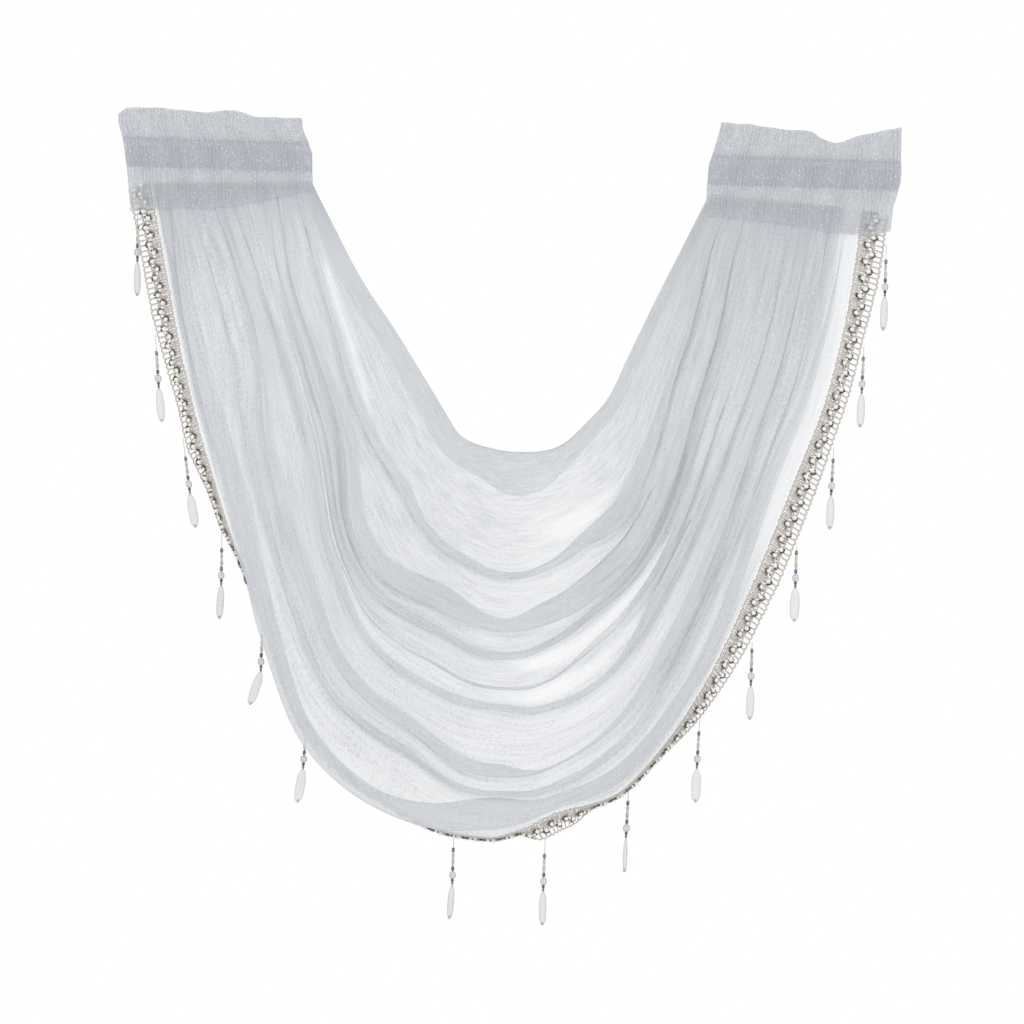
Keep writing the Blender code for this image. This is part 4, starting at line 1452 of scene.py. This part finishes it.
DROP_BEADS = table_of(
    Bead,
    ("thread", ((0.3, 0.0), (0.35, 11.4), (0.3, 50.0)), 6, 1.0, SEWING_THREAD),
    ("top bead", ((0.6, 10.9), (1.4, 11.6), (1.75, 13.5), (1.4, 15.3), (0.6, 16.0)), 8, 1.0, SMOKY_BEAD),
    ("upper bugle", ((0.6, 16.1), (1.2, 16.8), (1.6, 18.9), (1.2, 21.2), (0.6, 21.8)), 6, 1.0, TAN_BUGLE),
    ("lower bugle", ((0.6, 21.9), (1.2, 22.6), (1.8, 25.4), (1.2, 28.6), (0.6, 29.4)), 6, 1.0, TAN_BUGLE),
    ("blue-grey bead", ((0.6, 29.6), (1.4, 30.2), (1.7, 31.6), (1.5, 33.6), (0.7, 34.4)), 8, 1.0, STEEL_BEAD),
    ("round bead", ((0.9, 34.8), (2.0, 35.3), (2.9, 36.4), (3.35, 38.5), (2.9, 40.6), (2.0, 41.7),
     (0.9, 42.2)), 12, 1.0, BALL_GLASS),
    ("low bead", ((0.7, 42.1), (1.4, 42.6), (1.6, 43.6), (1.3, 44.6), (0.7, 45.0)), 8, 1.0, BRONZE_BEAD),
    ("lowest bead", ((0.6, 45.0), (1.2, 45.6), (1.3, 46.8), (0.9, 47.8), (0.5, 48.4)), 8, 1.0, SMOKY_BEAD),
    ("pendant", ((0.8, 48.2), (1.9, 49.4), (3.2, 52.0), (4.3, 56.5), (4.7, 62.0), (4.7, 70.0), (4.3, 75.5),
     (3.4, 79.0), (1.6, 81.0)), 12, 0.45, PENDANT_GLASS),
    ("end bead", ((0.5, 78.6), (1.2, 79.2), (1.5, 80.4), (1.2, 81.6), (0.5, 82.2)), 8, 1.2, TAN_BUGLE),
)
PENDANT_NECK = 48.2


class Drop(NamedTuple):
    """One drop: where its thread hangs in X and how much longer it is, and how it hangs.

    turn is how far the pendant's flat side is turned away from the front, swing how far the whole string
    hangs out of upright and lean how much further the pendant does, towards the right, all in degrees.
    behind says that it hangs at the braid's back.
    """

    thread_x: float
    longer: float
    turn: float
    swing: float = 0.0
    lean: float = 0.0
    behind: bool = False


DROPS = (
    Drop(-373.2, -2, 55, swing=1, behind=True),
    Drop(-352.5, 5, 35, swing=5.5, lean=1.5),
    Drop(-321.6, 8, 20, swing=9, lean=2),
    Drop(-279.3, 6.5, 48, swing=1, lean=-2.5),
    Drop(-235.6, 12.5, 15, lean=-16),
    Drop(-187.7, -2.5, 10, swing=-2.5, lean=-5),
    Drop(-37.3, 1.7, 55, lean=-3),
    Drop(53.5, 2.4, 45, swing=-0.5, lean=1),
    Drop(135.2, 0, 85, swing=-1.5, lean=1),
    Drop(203.8, 0.5, 8, swing=-1.5, lean=1),
    Drop(253.5, -4.6, 32),
    Drop(295.2, -7, 5),
    Drop(330.0, 0, 32, swing=-1.5, lean=1),
    Drop(357.4, -1.5, 30, swing=-1),
    Drop(376.4, 4, 38, lean=-1),
)


@dataclass(frozen=True)
class BeadDrops:
    """The strings of beads that hang under the braid, each in the place of its solid."""

    back_swing: float = 6.0
    thread_reach: float = 0.52 * MM

    def hung(self, points: np.ndarray, drop: Drop) -> np.ndarray:
        """A bead's points on one drop's string, lower by the longer thread and swung as the drop hangs."""
        turn = math.radians(drop.turn)
        swing, lean = math.tan(math.radians(drop.swing)), math.tan(math.radians(drop.lean))
        back_swing = math.tan(math.radians(self.back_swing)) if drop.behind else 0.0
        x = points[:, 0] * math.cos(turn) - points[:, 1] * math.sin(turn)
        y = points[:, 0] * math.sin(turn) + points[:, 1] * math.cos(turn)
        below_neck = np.maximum(-points[:, 2] - PENDANT_NECK * MM, 0.0)
        down = -points[:, 2] + np.where(points[:, 2] < 0, drop.longer * MM, 0.0)
        return np.stack([x + down * swing + below_neck * lean, y + down * back_swing, -down], axis=1)

    def build(self) -> list[Piece]:
        """Models each bead once and hangs a copy of the whole string in each drop's place."""
        finishes = [finish.material() for finish in DROP_FINISHES]
        patterns = [
            drawn_out([(radius * MM, down * MM) for radius, down in bead.outline], bead.sides, bead.flatness)
            for bead in DROP_BEADS
        ]
        made = []
        for number, drop in enumerate(DROPS, start=1):
            node = f"bead_drop_{number:02d}"
            low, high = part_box(node)
            thread_y = low[1] + self.thread_reach if drop.behind else (low[1] + high[1]) / 2
            top = np.array([drop.thread_x * MM, thread_y, high[2]])
            joined = Joined(finishes)
            for bead, pattern in zip(DROP_BEADS, patterns):
                joined.add(pattern, self.hung(pattern.points, drop) + top, DROP_FINISHES.index(bead.finish))
            made.append(dress(joined.piece(f"beads_{number:02d}"), [node]))
        return made


def linked(name: str, data: bpy.types.ID) -> Piece:
    """A lamp or camera as an object in the scene."""
    made = bpy.data.objects.new(name, data)
    bpy.context.scene.collection.objects.link(made)
    return made


@dataclass(frozen=True)
class Studio:
    """A pale floor, soft light and the camera at the picture's angle."""

    floor_height: float = -1.2
    floor_size: float = 3.6
    floor_colour: Colour = (0.92, 0.92, 0.91)
    camera_place: tuple[float, float, float] = (0.0105, -4.5, -0.362)
    camera_roll: float = math.radians(-1.8)
    camera_lens: float = 158.2
    camera_sensor: float = 36.0
    ambience: float = 0.66
    ambient_colour: Colour = (0.97, 0.985, 1.0)

    def build(self) -> None:
        """Sets up the floor, the world, the lamps and the camera."""
        self.floor()
        self.world()
        self.lamp("key", place=(-1.5, -2.6, 1.5), size=1.4, power=15.0)
        self.lamp("fill", place=(1.9, -2.4, 0.2), size=1.6, power=7.0)
        self.camera()
        bpy.context.scene.view_settings.view_transform = "Standard"

    def floor(self) -> None:
        """A plain pale floor, well below the valance."""
        let_go()
        bpy.ops.mesh.primitive_plane_add(size=self.floor_size, location=(0, 0, self.floor_height))
        floor = bpy.context.view_layer.objects.active
        floor.name = "floor"
        finish = Bench("pale_floor").finished({"Base Color": self.floor_colour, "Roughness": 0.9})
        floor.data.materials.append(finish)

    def world(self) -> None:
        """A white backdrop that lights the cloth more softly than it shows."""
        world = bpy.data.worlds.new("white_studio")
        world.use_nodes = True
        bpy.context.scene.world = world
        tree = world.node_tree
        seen, lit = tree.nodes["Background"], tree.nodes.new("ShaderNodeBackground")
        for backdrop, colour, strength in ((seen, WHITE, 1.0), (lit, self.ambient_colour, self.ambience)):
            backdrop.inputs["Color"].default_value = (*colour, 1.0)
            backdrop.inputs["Strength"].default_value = strength
        path = tree.nodes.new("ShaderNodeLightPath")
        choice = tree.nodes.new("ShaderNodeMixShader")
        tree.links.new(path.outputs["Is Camera Ray"], choice.inputs["Fac"])
        tree.links.new(lit.outputs["Background"], choice.inputs[1])
        tree.links.new(seen.outputs["Background"], choice.inputs[2])
        tree.links.new(choice.outputs["Shader"], tree.nodes["World Output"].inputs["Surface"])

    def lamp(self, name: str, place: tuple[float, float, float], size: float, power: float) -> None:
        """A soft square lamp that faces the swag."""
        data = bpy.data.lights.new(name, "AREA")
        data.size = size
        data.energy = power
        lamp = linked(name, data)
        lamp.location = place
        towards = Vector((0.0, 0.0, self.camera_place[2])) - lamp.location
        lamp.rotation_euler = towards.to_track_quat("-Z", "Y").to_euler()

    def camera(self) -> None:
        """The camera, level with the swag and rolled a little, as the picture was taken."""
        data = bpy.data.cameras.new("camera")
        data.lens = self.camera_lens
        data.sensor_width = self.camera_sensor
        camera = linked("camera", data)
        camera.location = self.camera_place
        camera.rotation_euler = (math.radians(90), self.camera_roll, 0.0)
        bpy.context.scene.camera = camera


def main() -> None:
    """Dresses the frame, piece by piece."""
    logging.basicConfig(level=logging.INFO, format="%(name)s: %(message)s")
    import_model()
    cloth = SwagCloth()
    swag = cloth.build()
    left = HeadingCloth("heading_left_voile", "heading_left", LEFT_LEVELS, LEFT_GATHERS, wedge=16.0)
    right = HeadingCloth("heading_right_voile", "heading_right", RIGHT_LEVELS, RIGHT_GATHERS, wedge=4.0)
    headings = [left.build(), right.build()]
    stitches = [SeamStitches(left).build(), SeamStitches(right).build()]
    braid = BeadedBraid(BraidRoute(cloth.form)).build()
    drops = BeadDrops().build()
    Studio().build()
    log.info("%d pieces in all", 1 + len(headings) + len(stitches) + len(braid) + len(drops))


if __name__ == "__main__":
    main()
